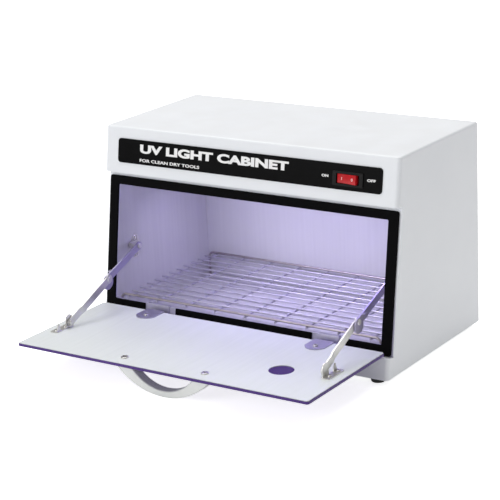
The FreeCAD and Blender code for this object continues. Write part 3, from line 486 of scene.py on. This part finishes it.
@dataclass(frozen=True)
class GlowingPiece(Finish):
    """A surface that gives light, brighter in the middle of its patches."""

    glow: Tone = (0.35, 0.25, 1.0)
    power: float = 3.0
    patches: float = 90.0
    dim_share: float = 0.7

    def material(self) -> bpy.types.Material:
        """Builds the material."""
        material, graph, shader = self.begin({"Emission Strength": self.power})
        clouds = SHELF.place(graph, Effect.SPECKLE, {"Size": self.patches})
        colour = graph.blend(clouds, paint(self.tone), paint(self.patch))
        dimmer = tuple(channel * self.dim_share for channel in self.glow)
        glow = graph.blend(clouds, paint(dimmer), paint(self.glow))
        gloss = self.gloss(graph, clouds)
        self.fill(graph, shader, {"Base Color": colour, "Roughness": gloss, "Emission Color": glow})
        return material


@dataclass(frozen=True)
class StudioFloor(Finish):
    """A pale floor that seems lit from below, so that the shadows on it stay faint."""

    seen_glow: float = 0.78
    cast_glow: float = 0.25

    def material(self) -> bpy.types.Material:
        """Builds the material."""
        material, graph, shader = self.begin({"Emission Color": paint(WHITE)})
        clouds = SHELF.place(graph, Effect.SPECKLE, {"Size": 0.5})
        colour = graph.blend(clouds, paint(self.tone), paint(self.patch))
        seen = graph.add("ShaderNodeLightPath").outputs["Is Camera Ray"]
        glow = graph.spread(seen, self.cast_glow, self.seen_glow)
        gloss = self.gloss(graph, clouds)
        self.fill(graph, shader, {"Base Color": colour, "Roughness": gloss, "Emission Strength": glow})
        return material


WHITE_COAT = PowderCoat("white_powder_coat", (0.80, 0.82, 0.85), (0.77, 0.79, 0.825), 0.42, 0.05)
LINING = BrushedMetal("brushed_chamber_lining", (0.575, 0.57, 0.59), (0.55, 0.545, 0.565), 0.5, 0.05,
                      metallic=0.15, stretch=(260.0, 260.0, 9.0), grain_depth=0.000001, smudge=0.14)
# the front frame's lilac lower part is painted violet light from the lamp
FRAME_SHEET = LampLitCoat("painted_front_frame", (0.74, 0.76, 0.80), (0.71, 0.73, 0.77), 0.45, 0.06)
DOOR_SHEET = BrushedMetal("brushed_door_sheet", (0.745, 0.78, 0.775), (0.715, 0.75, 0.745), 0.5, 0.05,
                          metallic=0.2, stretch=(240.0, 10.0, 240.0), grain_depth=0.000002, smudge=0.12)
REFLECTOR = BrushedMetal("polished_reflector", (0.90, 0.90, 0.93), (0.80, 0.80, 0.84), 0.16, 0.05,
                         stretch=(8.0, 300.0, 300.0))
BASE_SHEET = PlatedMetal("zinc_base_sheet", (0.58, 0.60, 0.62), (0.47, 0.49, 0.51), 0.42, 0.1, spot_size=70.0)
# the hinge leaves' lilac tone is painted violet lamp light on their grey steel
VIOLET_LIT_HINGE_STEEL = PlatedMetal("violet_lit_hinge_leaf", (0.50, 0.48, 0.60), (0.44, 0.42, 0.54), 0.36, 0.06)
ARM_STEEL = PlatedMetal("nickel_plated_strip", (0.74, 0.73, 0.71), (0.66, 0.65, 0.63), 0.33, 0.06)
# a darker lilac copy of the stays' steel: painted violet lamp light and painted shade on the upper arms
LAMP_LIT_UPPER_ARM_STEEL = PlatedMetal("lilac_lit_strip", (0.46, 0.43, 0.58), (0.43, 0.40, 0.55), 0.4, 0.04,
                              tarnish_share=0.04, spot_size=60.0, pit_depth=0.0000004)
SCREW_NICKEL = PlatedMetal("nickel_plated_screws", (0.72, 0.71, 0.68), (0.55, 0.54, 0.52), 0.3, 0.1,
                           spot_size=420.0)
# the faint violet in the wire's tone is painted lamp light
RACK_CHROME = PlatedMetal("chromed_wire", (0.60, 0.58, 0.66), (0.53, 0.51, 0.59), 0.46, 0.05,
                          tarnish_share=0.08)
RAIL_CHROME = PlatedMetal("chromed_rail", (0.46, 0.42, 0.42), (0.38, 0.34, 0.35), 0.36, 0.05,
                          tarnish_share=0.1)
WELD_METAL = PlatedMetal("weld_nuggets", (0.36, 0.34, 0.38), (0.20, 0.19, 0.22), 0.36, 0.1, spot_size=600.0)
CONTACT_BRASS = PlatedMetal("plated_brass", (0.83, 0.66, 0.32), (0.66, 0.50, 0.22), 0.28, 0.1,
                            tarnish=(0.30, 0.20, 0.09))
CAN_METAL = PlatedMetal("spun_aluminium", (0.76, 0.76, 0.78), (0.62, 0.62, 0.65), 0.32, 0.08)
CORE_STEEL = PlatedMetal("varnished_core", (0.10, 0.10, 0.11), (0.05, 0.05, 0.055), 0.4, 0.1,
                         tarnish=(0.14, 0.07, 0.03), tarnish_share=0.5)
SEAL_RUBBER = Plastic("seal_rubber", (0.0015, 0.0015, 0.002), (0.003, 0.003, 0.0035), 0.62, 0.08,
                      rubbed=(0.04, 0.04, 0.045), dust=0.004, sheen_level=0.04)
FOOT_RUBBER = Plastic("foot_rubber", (0.014, 0.014, 0.015), (0.024, 0.023, 0.023), 0.7, 0.08,
                      rubbed=(0.10, 0.10, 0.10), rub_share=0.4, grain_depth=0.00003, dust=0.15)
PLATE_BLACK = Plastic("black_control_plate", (0.0016, 0.0016, 0.0018), (0.0026, 0.0026, 0.003), 0.38, 0.05,
                      rubbed=(0.08, 0.08, 0.08), rub_share=0.2, dust=0.004, sheen_level=0.06)
SWITCH_BLACK = Plastic("black_switch_housing", (0.004, 0.004, 0.0044), (0.007, 0.007, 0.0075), 0.36, 0.06,
                       rubbed=(0.05, 0.05, 0.05), dust=0.004, sheen_level=0.15)
ROCKER_RED = Plastic("red_rocker_moulding", (0.56, 0.008, 0.014), (0.42, 0.006, 0.010), 0.24, 0.05,
                     rubbed=(0.7, 0.12, 0.12), rub_share=0.2, dust=0.0, coat=0.2, sheen_level=0.3)
HANDLE_WHITE = Plastic("white_moulded_handle", (0.74, 0.76, 0.74), (0.71, 0.73, 0.71), 0.3, 0.06,
                       rubbed=(0.55, 0.56, 0.54), rub_share=0.25, dust=0.06, coat=0.15)
SOCKET_WHITE = Plastic("white_lamp_holder", (0.82, 0.82, 0.80), (0.75, 0.75, 0.72), 0.38, 0.06,
                       rubbed=(0.5, 0.5, 0.48))
LEAD_SLEEVE = Plastic("lead_insulation", (0.10, 0.16, 0.42), (0.07, 0.12, 0.34), 0.45, 0.06,
                      rubbed=(0.3, 0.34, 0.5))
INLET_BLACK = Plastic("black_inlet_moulding", (0.02, 0.02, 0.021), (0.03, 0.03, 0.031), 0.45, 0.08,
                      rubbed=(0.14, 0.14, 0.14), grain_depth=0.00003)
INK_WHITE = Plastic("white_ink", (0.86, 0.86, 0.86), (0.80, 0.80, 0.80), 0.45, 0.05, rub_share=0.0, dust=0.0)
MARK_PALE = Plastic("pale_rocker_marks", (0.95, 0.72, 0.70), (0.9, 0.62, 0.6), 0.35, 0.05,
                    rub_share=0.0, dust=0.0)
VIOLET_SHEET = TintedAcrylic("tinted_acrylic", (0.08, 0.034, 0.21), (0.06, 0.026, 0.17), 0.14, 0.04)
PALE_FLOOR = StudioFloor("pale_floor", (0.92, 0.92, 0.92), (0.90, 0.90, 0.90), 0.7, 0.05)
LAMP_GLASS = GlowingPiece("glowing_lamp_tube", (0.8, 0.78, 0.95), (0.7, 0.68, 0.9), 0.15, 0.05, power=6.0)


# --- shared making ------------------------------------------------------------------------------
class Wardrobe:
    """Builds each finish's material once and puts it on pieces."""

    def __init__(self) -> None:
        """Starts with no material made."""
        self.made: dict[str, bpy.types.Material] = {}

    def dress(self, piece: bpy.types.Object, finish: Finish) -> bpy.types.Object:
        """Gives a piece one finish all over.

        Args:
            piece: The piece or CAD node to dress.
            finish: Its finish.

        Returns:
            The same piece.
        """
        if finish.name not in self.made:
            self.made[finish.name] = finish.material()
        piece.data.materials.clear()
        piece.data.materials.append(self.made[finish.name])
        return piece

    def dress_nodes(self, nodes: list[str], finish: Finish) -> None:
        """Gives several CAD nodes the same finish and logs each.

        Args:
            nodes: The nodes' names.
            finish: Their finish.
        """
        for node in nodes:
            self.dress(frame["nodes"][node], finish)
            LOG.info("dressed %s in %s", node, finish.name)


WARDROBE = Wardrobe()


def both_sides(stem: str) -> list[str]:
    """The names of a left and right pair of nodes."""
    return [f"{stem}_left", f"{stem}_right"]


def new_piece(name: str, form: bmesh.types.BMesh, body: str, finish: Finish) -> bpy.types.Object:
    """Makes a finished piece from a built form.

    Args:
        name: The piece's name.
        form: Its shape, already in place, which is freed.
        body: The CAD body that it moves with.
        finish: Its finish.

    Returns:
        The new object.
    """
    mesh = bpy.data.meshes.new(name)
    form.to_mesh(mesh)
    form.free()
    piece = bpy.data.objects.new(name, mesh)
    bpy.context.scene.collection.objects.link(piece)
    WARDROBE.dress(piece, finish)
    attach(piece, body)
    LOG.info("built %s with %d faces", name, len(mesh.polygons))
    return piece


def smooth(piece: bpy.types.Object, angle: float = 35.0) -> bpy.types.Object:
    """Shades a piece smooth and keeps its edges sharper than an angle in degrees."""
    piece.data.shade_smooth()
    piece.data.set_sharp_from_angle(angle=math.radians(angle))
    return piece


def softened_copy(node: str, radius: float, steps: int = 3, sharpest: float = 40.0) -> bmesh.types.BMesh:
    """A copy of a CAD node with its hard edges rounded.

    Args:
        node: The CAD node to copy.
        radius: How far each edge is cut back, in metres.
        steps: The number of faces round an edge.
        sharpest: Edges whose faces turn by more than this many degrees are rounded.

    Returns:
        The rounded form.
    """
    form = bmesh.new()
    form.from_mesh(frame["nodes"][node].data)
    bmesh.ops.remove_doubles(form, verts=form.verts, dist=MERGE_DISTANCE)
    bmesh.ops.dissolve_limit(form, angle_limit=math.radians(FLAT_ANGLE), verts=form.verts, edges=form.edges)
    hard = []
    for edge in form.edges:
        if len(edge.link_faces) == 2 and edge.calc_face_angle() > math.radians(sharpest):
            hard.append(edge)
    bmesh.ops.bevel(form, geom=hard, offset=radius, offset_type="OFFSET", segments=steps, profile=0.5,
                    affect="EDGES", material=-1, clamp_overlap=True)
    bmesh.ops.recalc_face_normals(form, faces=form.faces)
    return form


@dataclass(frozen=True)
class Slope:
    """The leaning front of the head: a point at its low edge, the way up it and the way out of it."""

    low_edge: Vector
    up: Vector
    out: Vector

    @classmethod
    def of_control_plate(cls, thickness: float = 1.0 * MM) -> "Slope":
        """Reads the control plate's front face.

        Args:
            thickness: The plate's thickness, in metres.

        Returns:
            The slope through that face.
        """
        tilt = next(joint for joint in frame["joints"] if joint["name"] == "rocker_tilt")
        up = Vector(tilt["axis"]).normalized()
        out = Vector((1, 0, 0)).cross(up)
        low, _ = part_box("control_plate")
        return cls(Vector((0.0, low.y, low.z + thickness * up.y)), up, out)

    def placement(self, across: float, rise: float, proud: float = 0.0) -> Matrix:
        """Where a flat shape drawn in XY goes on the slope.

        Args:
            across: The place along X, in metres.
            rise: The distance up the slope from its low edge.
            proud: The distance out of the face.

        Returns:
            The matrix that puts it there.
        """
        place = self.low_edge + Vector((across, 0, 0)) + self.up * rise + self.out * proud
        turn = Matrix((Vector((1, 0, 0)), self.up, self.out)).transposed()
        return Matrix.Translation(place) @ turn.to_4x4()


@dataclass(frozen=True)
class Lettering:
    """A line of plain capitals fitted to a width and a height."""

    name: str
    words: str
    width: float
    height: float
    weight: float = 0.04
    thickness: float = 0.06 * MM

    def form(self) -> bmesh.types.BMesh:
        """The letters as a flat solid whose lower left corner is at the origin."""
        curve = bpy.data.curves.new(self.name, "FONT")
        curve.body = self.words
        curve.offset = self.weight
        curve.extrude = 0.5
        curve.resolution_u = 5
        holder = bpy.data.objects.new(self.name + "_line", curve)
        bpy.context.scene.collection.objects.link(holder)
        bpy.context.view_layer.update()
        mesh = bpy.data.meshes.new_from_object(holder.evaluated_get(bpy.context.evaluated_depsgraph_get()))
        bpy.data.objects.remove(holder)
        bpy.data.curves.remove(curve)
        form = bmesh.new()
        form.from_mesh(mesh)
        bpy.data.meshes.remove(mesh)
        bmesh.ops.remove_doubles(form, verts=form.verts, dist=0.0001)
        low = Vector([min(vert.co[axis] for vert in form.verts) for axis in range(3)])
        high = Vector([max(vert.co[axis] for vert in form.verts) for axis in range(3)])
        bmesh.ops.translate(form, verts=form.verts, vec=-low)
        size = high - low
        fit = Vector((self.width / size.x, self.height / size.y, self.thickness / size.z))
        bmesh.ops.scale(form, verts=form.verts, vec=fit)
        bmesh.ops.recalc_face_normals(form, faces=form.faces)
        return form


# --- sub-assemblies -----------------------------------------------------------------------------
@dataclass
class Casing:
    """The painted shell, its rear panel, base and feet."""

    painted: list[str] = field(default_factory=lambda: ["outer_casing", "back_panel"])
    feet: list[str] = field(default_factory=lambda: both_sides("front_foot") + both_sides("rear_foot"))

    def dress(self) -> None:
        """Gives every piece of the shell its finish."""
        WARDROBE.dress_nodes(self.painted, WHITE_COAT)
        WARDROBE.dress_nodes(["base_plate"], BASE_SHEET)
        WARDROBE.dress_nodes(self.feet, FOOT_RUBBER)
        WARDROBE.dress_nodes(["back_panel_screws", "foot_screws"], SCREW_NICKEL)


@dataclass
class ControlHead:
    """The black plate with its lettering, and the rocker switch."""

    slope: Slope
    title_left: float = -147.6 * MM
    title_width: float = 207.5 * MM
    title_rise: float = 13.4 * MM
    title_height: float = 10.6 * MM
    line_width: float = 86.0 * MM
    line_rise: float = 3.3 * MM
    line_height: float = 3.6 * MM
    mark_rise: float = 12.2 * MM
    mark_height: float = 3.0 * MM
    on_left: float = 103.2 * MM
    on_width: float = 8.6 * MM
    off_left: float = 161.0 * MM
    off_width: float = 10.8 * MM
    rocker_edge: float = 0.5 * MM
    rocker_mark_offset: float = 7.2 * MM
    rocker_mark_height: float = 3.2 * MM
    bar_width: float = 0.7 * MM
    ring_width: float = 2.9 * MM
    look_from: float = 20 * MM

    def dress(self) -> None:
        """Gives the CAD nodes of the head their finishes."""
        WARDROBE.dress_nodes(["control_plate"], PLATE_BLACK)
        WARDROBE.dress_nodes(["switch_body"], SWITCH_BLACK)
        WARDROBE.dress_nodes(["switch_terminals"], CONTACT_BRASS)

    def print_words(self) -> None:
        """Prints the title, the line below it and the switch's two words."""
        lines = [
            (Lettering("title_lettering", "UV LIGHT CABINET", self.title_width, self.title_height, 0.05),
             self.title_left, self.title_rise),
            (Lettering("line_lettering", "FOR CLEAN DRY TOOLS", self.line_width, self.line_height, 0.03),
             self.title_left, self.line_rise),
            (Lettering("on_lettering", "ON", self.on_width, self.mark_height),
             self.on_left, self.mark_rise),
            (Lettering("off_lettering", "OFF", self.off_width, self.mark_height),
             self.off_left, self.mark_rise),
        ]
        for lettering, across, rise in lines:
            form = lettering.form()
            bmesh.ops.transform(form, verts=form.verts, matrix=self.slope.placement(across, rise))
            new_piece(lettering.name, form, "cabinet", INK_WHITE)

    def build_rocker(self) -> None:
        """Replaces the rocker with one that has soft edges, and prints its two marks."""
        rocker = smooth(new_piece("rocker_cap", softened_copy("switch_rocker", self.rocker_edge, 3, 20.0),
                                  "switch_rocker_body", ROCKER_RED))
        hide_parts("switch_rocker")
        low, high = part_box("switch_rocker")
        centre = (low + high) / 2
        tree = BVHTree.FromObject(rocker, bpy.context.evaluated_depsgraph_get())
        marks = ((-1, "rocker_mark_on", "I", self.bar_width), (1, "rocker_mark_off", "O", self.ring_width))
        for side, name, sign, width in marks:
            start = centre + Vector((side * self.rocker_mark_offset, 0, 0)) + self.slope.out * self.look_from
            spot, facing, _, _ = tree.ray_cast(start, -self.slope.out)
            form = Lettering(name, sign, width, self.rocker_mark_height).form()
            bmesh.ops.translate(form, verts=form.verts, vec=(-width / 2, -self.rocker_mark_height / 2, 0))
            across = self.slope.up.cross(facing).normalized()
            turn = Matrix((across, facing.cross(across), facing)).transposed().to_4x4()
            bmesh.ops.transform(form, verts=form.verts, matrix=Matrix.Translation(spot) @ turn)
            new_piece(name, form, "switch_rocker_body", MARK_PALE)


@dataclass
class DoorSeal:
    """The soft rubber band round the opening, and the frame that it sits on."""

    edge: float = 1.1 * MM

    def build(self) -> None:
        """Replaces the seal's plain band with one that has rounded lips."""
        WARDROBE.dress_nodes(["front_frame"], FRAME_SHEET)
        form = softened_copy("door_gasket", self.edge, 4)
        seal = smooth(new_piece("door_seal", form, "cabinet", SEAL_RUBBER))
        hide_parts("door_gasket")


@dataclass
class Chamber:
    """The brushed lining, the lamp under the head and its holders."""

    lining: list[str] = field(default_factory=lambda: ["chamber_wrap", "chamber_back", "chamber_ceiling"])
    lamp_power: float = 0.25
    lamp_tone: Tone = (0.76, 0.72, 1.0)
    lamp_spread: float = 140.0
    lamp_turn: float = 20.0
    lamp_gap: float = 2 * MM

    def dress(self) -> None:
        """Gives the lining and the lamp's pieces their finishes."""
        WARDROBE.dress_nodes(self.lining, LINING)
        WARDROBE.dress_nodes(["lamp_reflector"], REFLECTOR)
        WARDROBE.dress_nodes(["uv_lamp_tube"], LAMP_GLASS)
        WARDROBE.dress_nodes(["uv_lamp_caps"], CAN_METAL)
        WARDROBE.dress_nodes(both_sides("lamp_socket"), SOCKET_WHITE)

    def light(self) -> None:
        """Hangs the violet light that the lamp gives just below its tube, turned to the back."""
        low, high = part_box("uv_lamp_tube")
        lamp = bpy.data.lights.new("lamp_light", "AREA")
        lamp.shape = "RECTANGLE"
        lamp.size = high.x - low.x
        lamp.size_y = high.y - low.y
        lamp.energy = self.lamp_power
        lamp.color = self.lamp_tone
        lamp.spread = math.radians(self.lamp_spread)
        holder = bpy.data.objects.new("lamp_light", lamp)
        holder.location = ((low.x + high.x) / 2, (low.y + high.y) / 2, low.z - self.lamp_gap)
        holder.rotation_euler = (math.radians(self.lamp_turn), 0, 0)
        bpy.context.scene.collection.objects.link(holder)


@dataclass
class Electrics:
    """The hidden ballast, starter, terminals and leads, and the mains inlet at the back."""

    def dress(self) -> None:
        """Gives each electrical piece its finish."""
        WARDROBE.dress_nodes(["ballast"], CORE_STEEL)
        WARDROBE.dress_nodes(["starter"], CAN_METAL)
        WARDROBE.dress_nodes(["starter_holder", "terminal_block"], SOCKET_WHITE)
        WARDROBE.dress_nodes(["wiring"], LEAD_SLEEVE)
        WARDROBE.dress_nodes(["power_inlet"], INLET_BLACK)
        WARDROBE.dress_nodes(["inlet_blades"], CONTACT_BRASS)
        WARDROBE.dress_nodes(["inlet_screws"], SCREW_NICKEL)


@dataclass
class Door:
    """The tinted panel, its brushed inner sheet, the handle and the hinges."""

    def dress(self) -> None:
        """Gives the door's pieces their finishes."""
        WARDROBE.dress_nodes(["door_panel"], VIOLET_SHEET)
        WARDROBE.dress_nodes(["door_liner"], DOOR_SHEET)
        WARDROBE.dress_nodes(["door_handle"], HANDLE_WHITE)
        screws = ["handle_screws", "door_leaf_screws", "door_bracket_screws", "hinge_leaf_screws"]
        WARDROBE.dress_nodes(screws, SCREW_NICKEL)
        WARDROBE.dress_nodes(both_sides("hinge_fixed_leaf") + both_sides("hinge_door_leaf"), VIOLET_LIT_HINGE_STEEL)
        WARDROBE.dress_nodes(both_sides("hinge_pin"), ARM_STEEL)


@dataclass
class Stays:
    """The two folding stays that hold the open door."""

    stems: tuple[str, ...] = ("stay_wall_bracket", "stay_lower_arm", "stay_upper_rivet", "stay_lower_rivet",
                              "stay_door_bracket")

    def dress(self) -> None:
        """Gives the stays and their screws their finishes."""
        for stem in self.stems:
            WARDROBE.dress_nodes(both_sides(stem), ARM_STEEL)
        WARDROBE.dress_nodes(both_sides("stay_upper_arm"), LAMP_LIT_UPPER_ARM_STEEL)
        WARDROBE.dress_nodes(["stay_bracket_screws"], SCREW_NICKEL)


@dataclass
class Rack:
    """The chromed wire rack and the welds at its crossings."""

    run_count: int = 9
    run_pitch: float = 42.0 * MM
    cross_count: int = 11
    rail_radius: float = 1.5 * MM
    nugget: float = 1.25 * MM
    nugget_shape: tuple[float, ...] = (1.15, 1.15, 0.55, 1.0)

    def dress(self) -> None:
        """Gives the rails and wires their finishes."""
        WARDROBE.dress_nodes(["rack_rails"], RAIL_CHROME)
        WARDROBE.dress_nodes(["rack_wires"], RACK_CHROME)

    def crossings(self) -> list[Vector]:
        """Where the long wires meet the cross wires and the rails."""
        low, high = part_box("rack_rails")
        front = low.y + self.rail_radius
        back = high.y - self.rail_radius
        pitch = (back - front) / (self.cross_count + 1)
        level = high.z - 2 * self.rail_radius
        places = []
        for run in range(self.run_count):
            across = (run - (self.run_count - 1) / 2) * self.run_pitch
            for cross in range(self.cross_count + 2):
                places.append(Vector((across, front + cross * pitch, level)))
        return places

    def build_welds(self) -> None:
        """Adds a flattened nugget of weld metal at every crossing."""
        form = bmesh.new()
        for place in self.crossings():
            matrix = Matrix.Translation(place) @ Matrix.Diagonal(self.nugget_shape)
            bmesh.ops.create_uvsphere(form, u_segments=8, v_segments=5, radius=self.nugget, matrix=matrix)
        welds = smooth(new_piece("rack_welds", form, "rack", WELD_METAL), 80.0)


# --- studio -------------------------------------------------------------------------------------
@dataclass(frozen=True)
class SoftBox:
    """A large flat studio light."""

    name: str
    place: Vector
    width: float
    height: float
    power: float
    tone: Tone = WHITE

    def hang(self, aim: Vector) -> None:
        """Adds the light and points it.

        Args:
            aim: The point that it faces.
        """
        lamp = bpy.data.lights.new(self.name, "AREA")
        lamp.shape = "RECTANGLE"
        lamp.size = self.width
        lamp.size_y = self.height
        lamp.energy = self.power
        lamp.color = self.tone
        holder = bpy.data.objects.new(self.name, lamp)
        holder.location = self.place
        holder.rotation_euler = (aim - self.place).to_track_quat("-Z", "Y").to_euler()
        bpy.context.scene.collection.objects.link(holder)


@dataclass
class Studio:
    """The pale floor, the soft lights and the camera."""

    aim: Vector = field(default_factory=lambda: Vector((-86.70, 130.51, 72.20)) * MM)
    azimuth: float = 34.41
    elevation: float = 17.07
    roll: float = -2.73
    distance: float = 2193.69 * MM
    lens: float = 127.05
    floor_reach: float = 12.0
    ambient: float = 0.32
    floor_gap: float = 0.2 * MM
    light_aim_height: float = 0.12
    sensor_width: float = 36.0
    nearest_seen: float = 0.1
    farthest_seen: float = 60.0

    def lay_floor(self) -> None:
        """Lays a wide pale floor under the feet."""
        form = bmesh.new()
        bmesh.ops.create_grid(form, x_segments=2, y_segments=2, size=self.floor_reach)
        bmesh.ops.translate(form, verts=form.verts, vec=(0, 0, CAD_LOW.z - self.floor_gap))
        mesh = bpy.data.meshes.new("floor")
        form.to_mesh(mesh)
        form.free()
        floor = bpy.data.objects.new("floor", mesh)
        bpy.context.scene.collection.objects.link(floor)
        WARDROBE.dress(floor, PALE_FLOOR)

    def light_world(self) -> None:
        """Lights everything evenly, with white behind the floor's far edge."""
        world = bpy.data.worlds.new("studio_air")
        world.use_nodes = True
        bpy.context.scene.world = world
        graph = Graph(world.node_tree)
        graph.tree.nodes.clear()
        seen = graph.add("ShaderNodeLightPath").outputs["Is Camera Ray"]
        soft = graph.add("ShaderNodeBackground", {"Color": paint(WHITE), "Strength": self.ambient})
        white = graph.add("ShaderNodeBackground", {"Color": paint(WHITE), "Strength": 1.0})
        mix = graph.add("ShaderNodeMixShader", {0: seen, 1: soft.outputs[0], 2: white.outputs[0]})
        graph.add("ShaderNodeOutputWorld", {0: mix.outputs[0]})

    def hang_lights(self) -> None:
        """Hangs the key light above and behind, and a weaker fill on the left of the front."""
        middle = Vector((0, 0, self.light_aim_height))
        boxes = [
            SoftBox("key_light", Vector((-0.3, 0.5, 2.2)), 2.6, 2.0, 49.0, (1.0, 0.99, 0.98)),
            SoftBox("front_fill", Vector((-0.7, -2.4, 1.0)), 1.6, 1.2, 22.0),
        ]
        for box in boxes:
            box.hang(middle)

    def place_camera(self) -> None:
        """Sets the camera to look down on the right front corner."""
        turn = math.radians(self.azimuth)
        rise = math.radians(self.elevation)
        back = Vector((math.sin(turn) * math.cos(rise), -math.cos(turn) * math.cos(rise), math.sin(rise)))
        camera = bpy.data.cameras.new("camera")
        camera.lens = self.lens
        camera.sensor_width = self.sensor_width
        camera.clip_start = self.nearest_seen
        camera.clip_end = self.farthest_seen
        holder = bpy.data.objects.new("camera", camera)
        holder.location = self.aim + back * self.distance
        holder.rotation_mode = "QUATERNION"
        level = (-back).to_track_quat("-Z", "Y")
        holder.rotation_quaternion = level @ Quaternion((0, 0, 1), math.radians(self.roll))
        bpy.context.scene.collection.objects.link(holder)
        bpy.context.scene.camera = holder

    def build(self) -> None:
        """Builds the whole studio."""
        self.lay_floor()
        self.light_world()
        self.hang_lights()
        self.place_camera()
        bpy.context.scene.view_settings.view_transform = "Standard"


def main() -> None:
    """Builds the sub-assemblies in order, then the studio."""
    logging.basicConfig(level=logging.INFO, format="%(message)s")
    Casing().dress()
    head = ControlHead(Slope.of_control_plate())
    head.dress()
    head.print_words()
    head.build_rocker()
    DoorSeal().build()
    chamber = Chamber()
    chamber.dress()
    chamber.light()
    Electrics().dress()
    Door().dress()
    Stays().dress()
    rack = Rack()
    rack.dress()
    rack.build_welds()
    Studio().build()


if __name__ == "__main__":
    main()
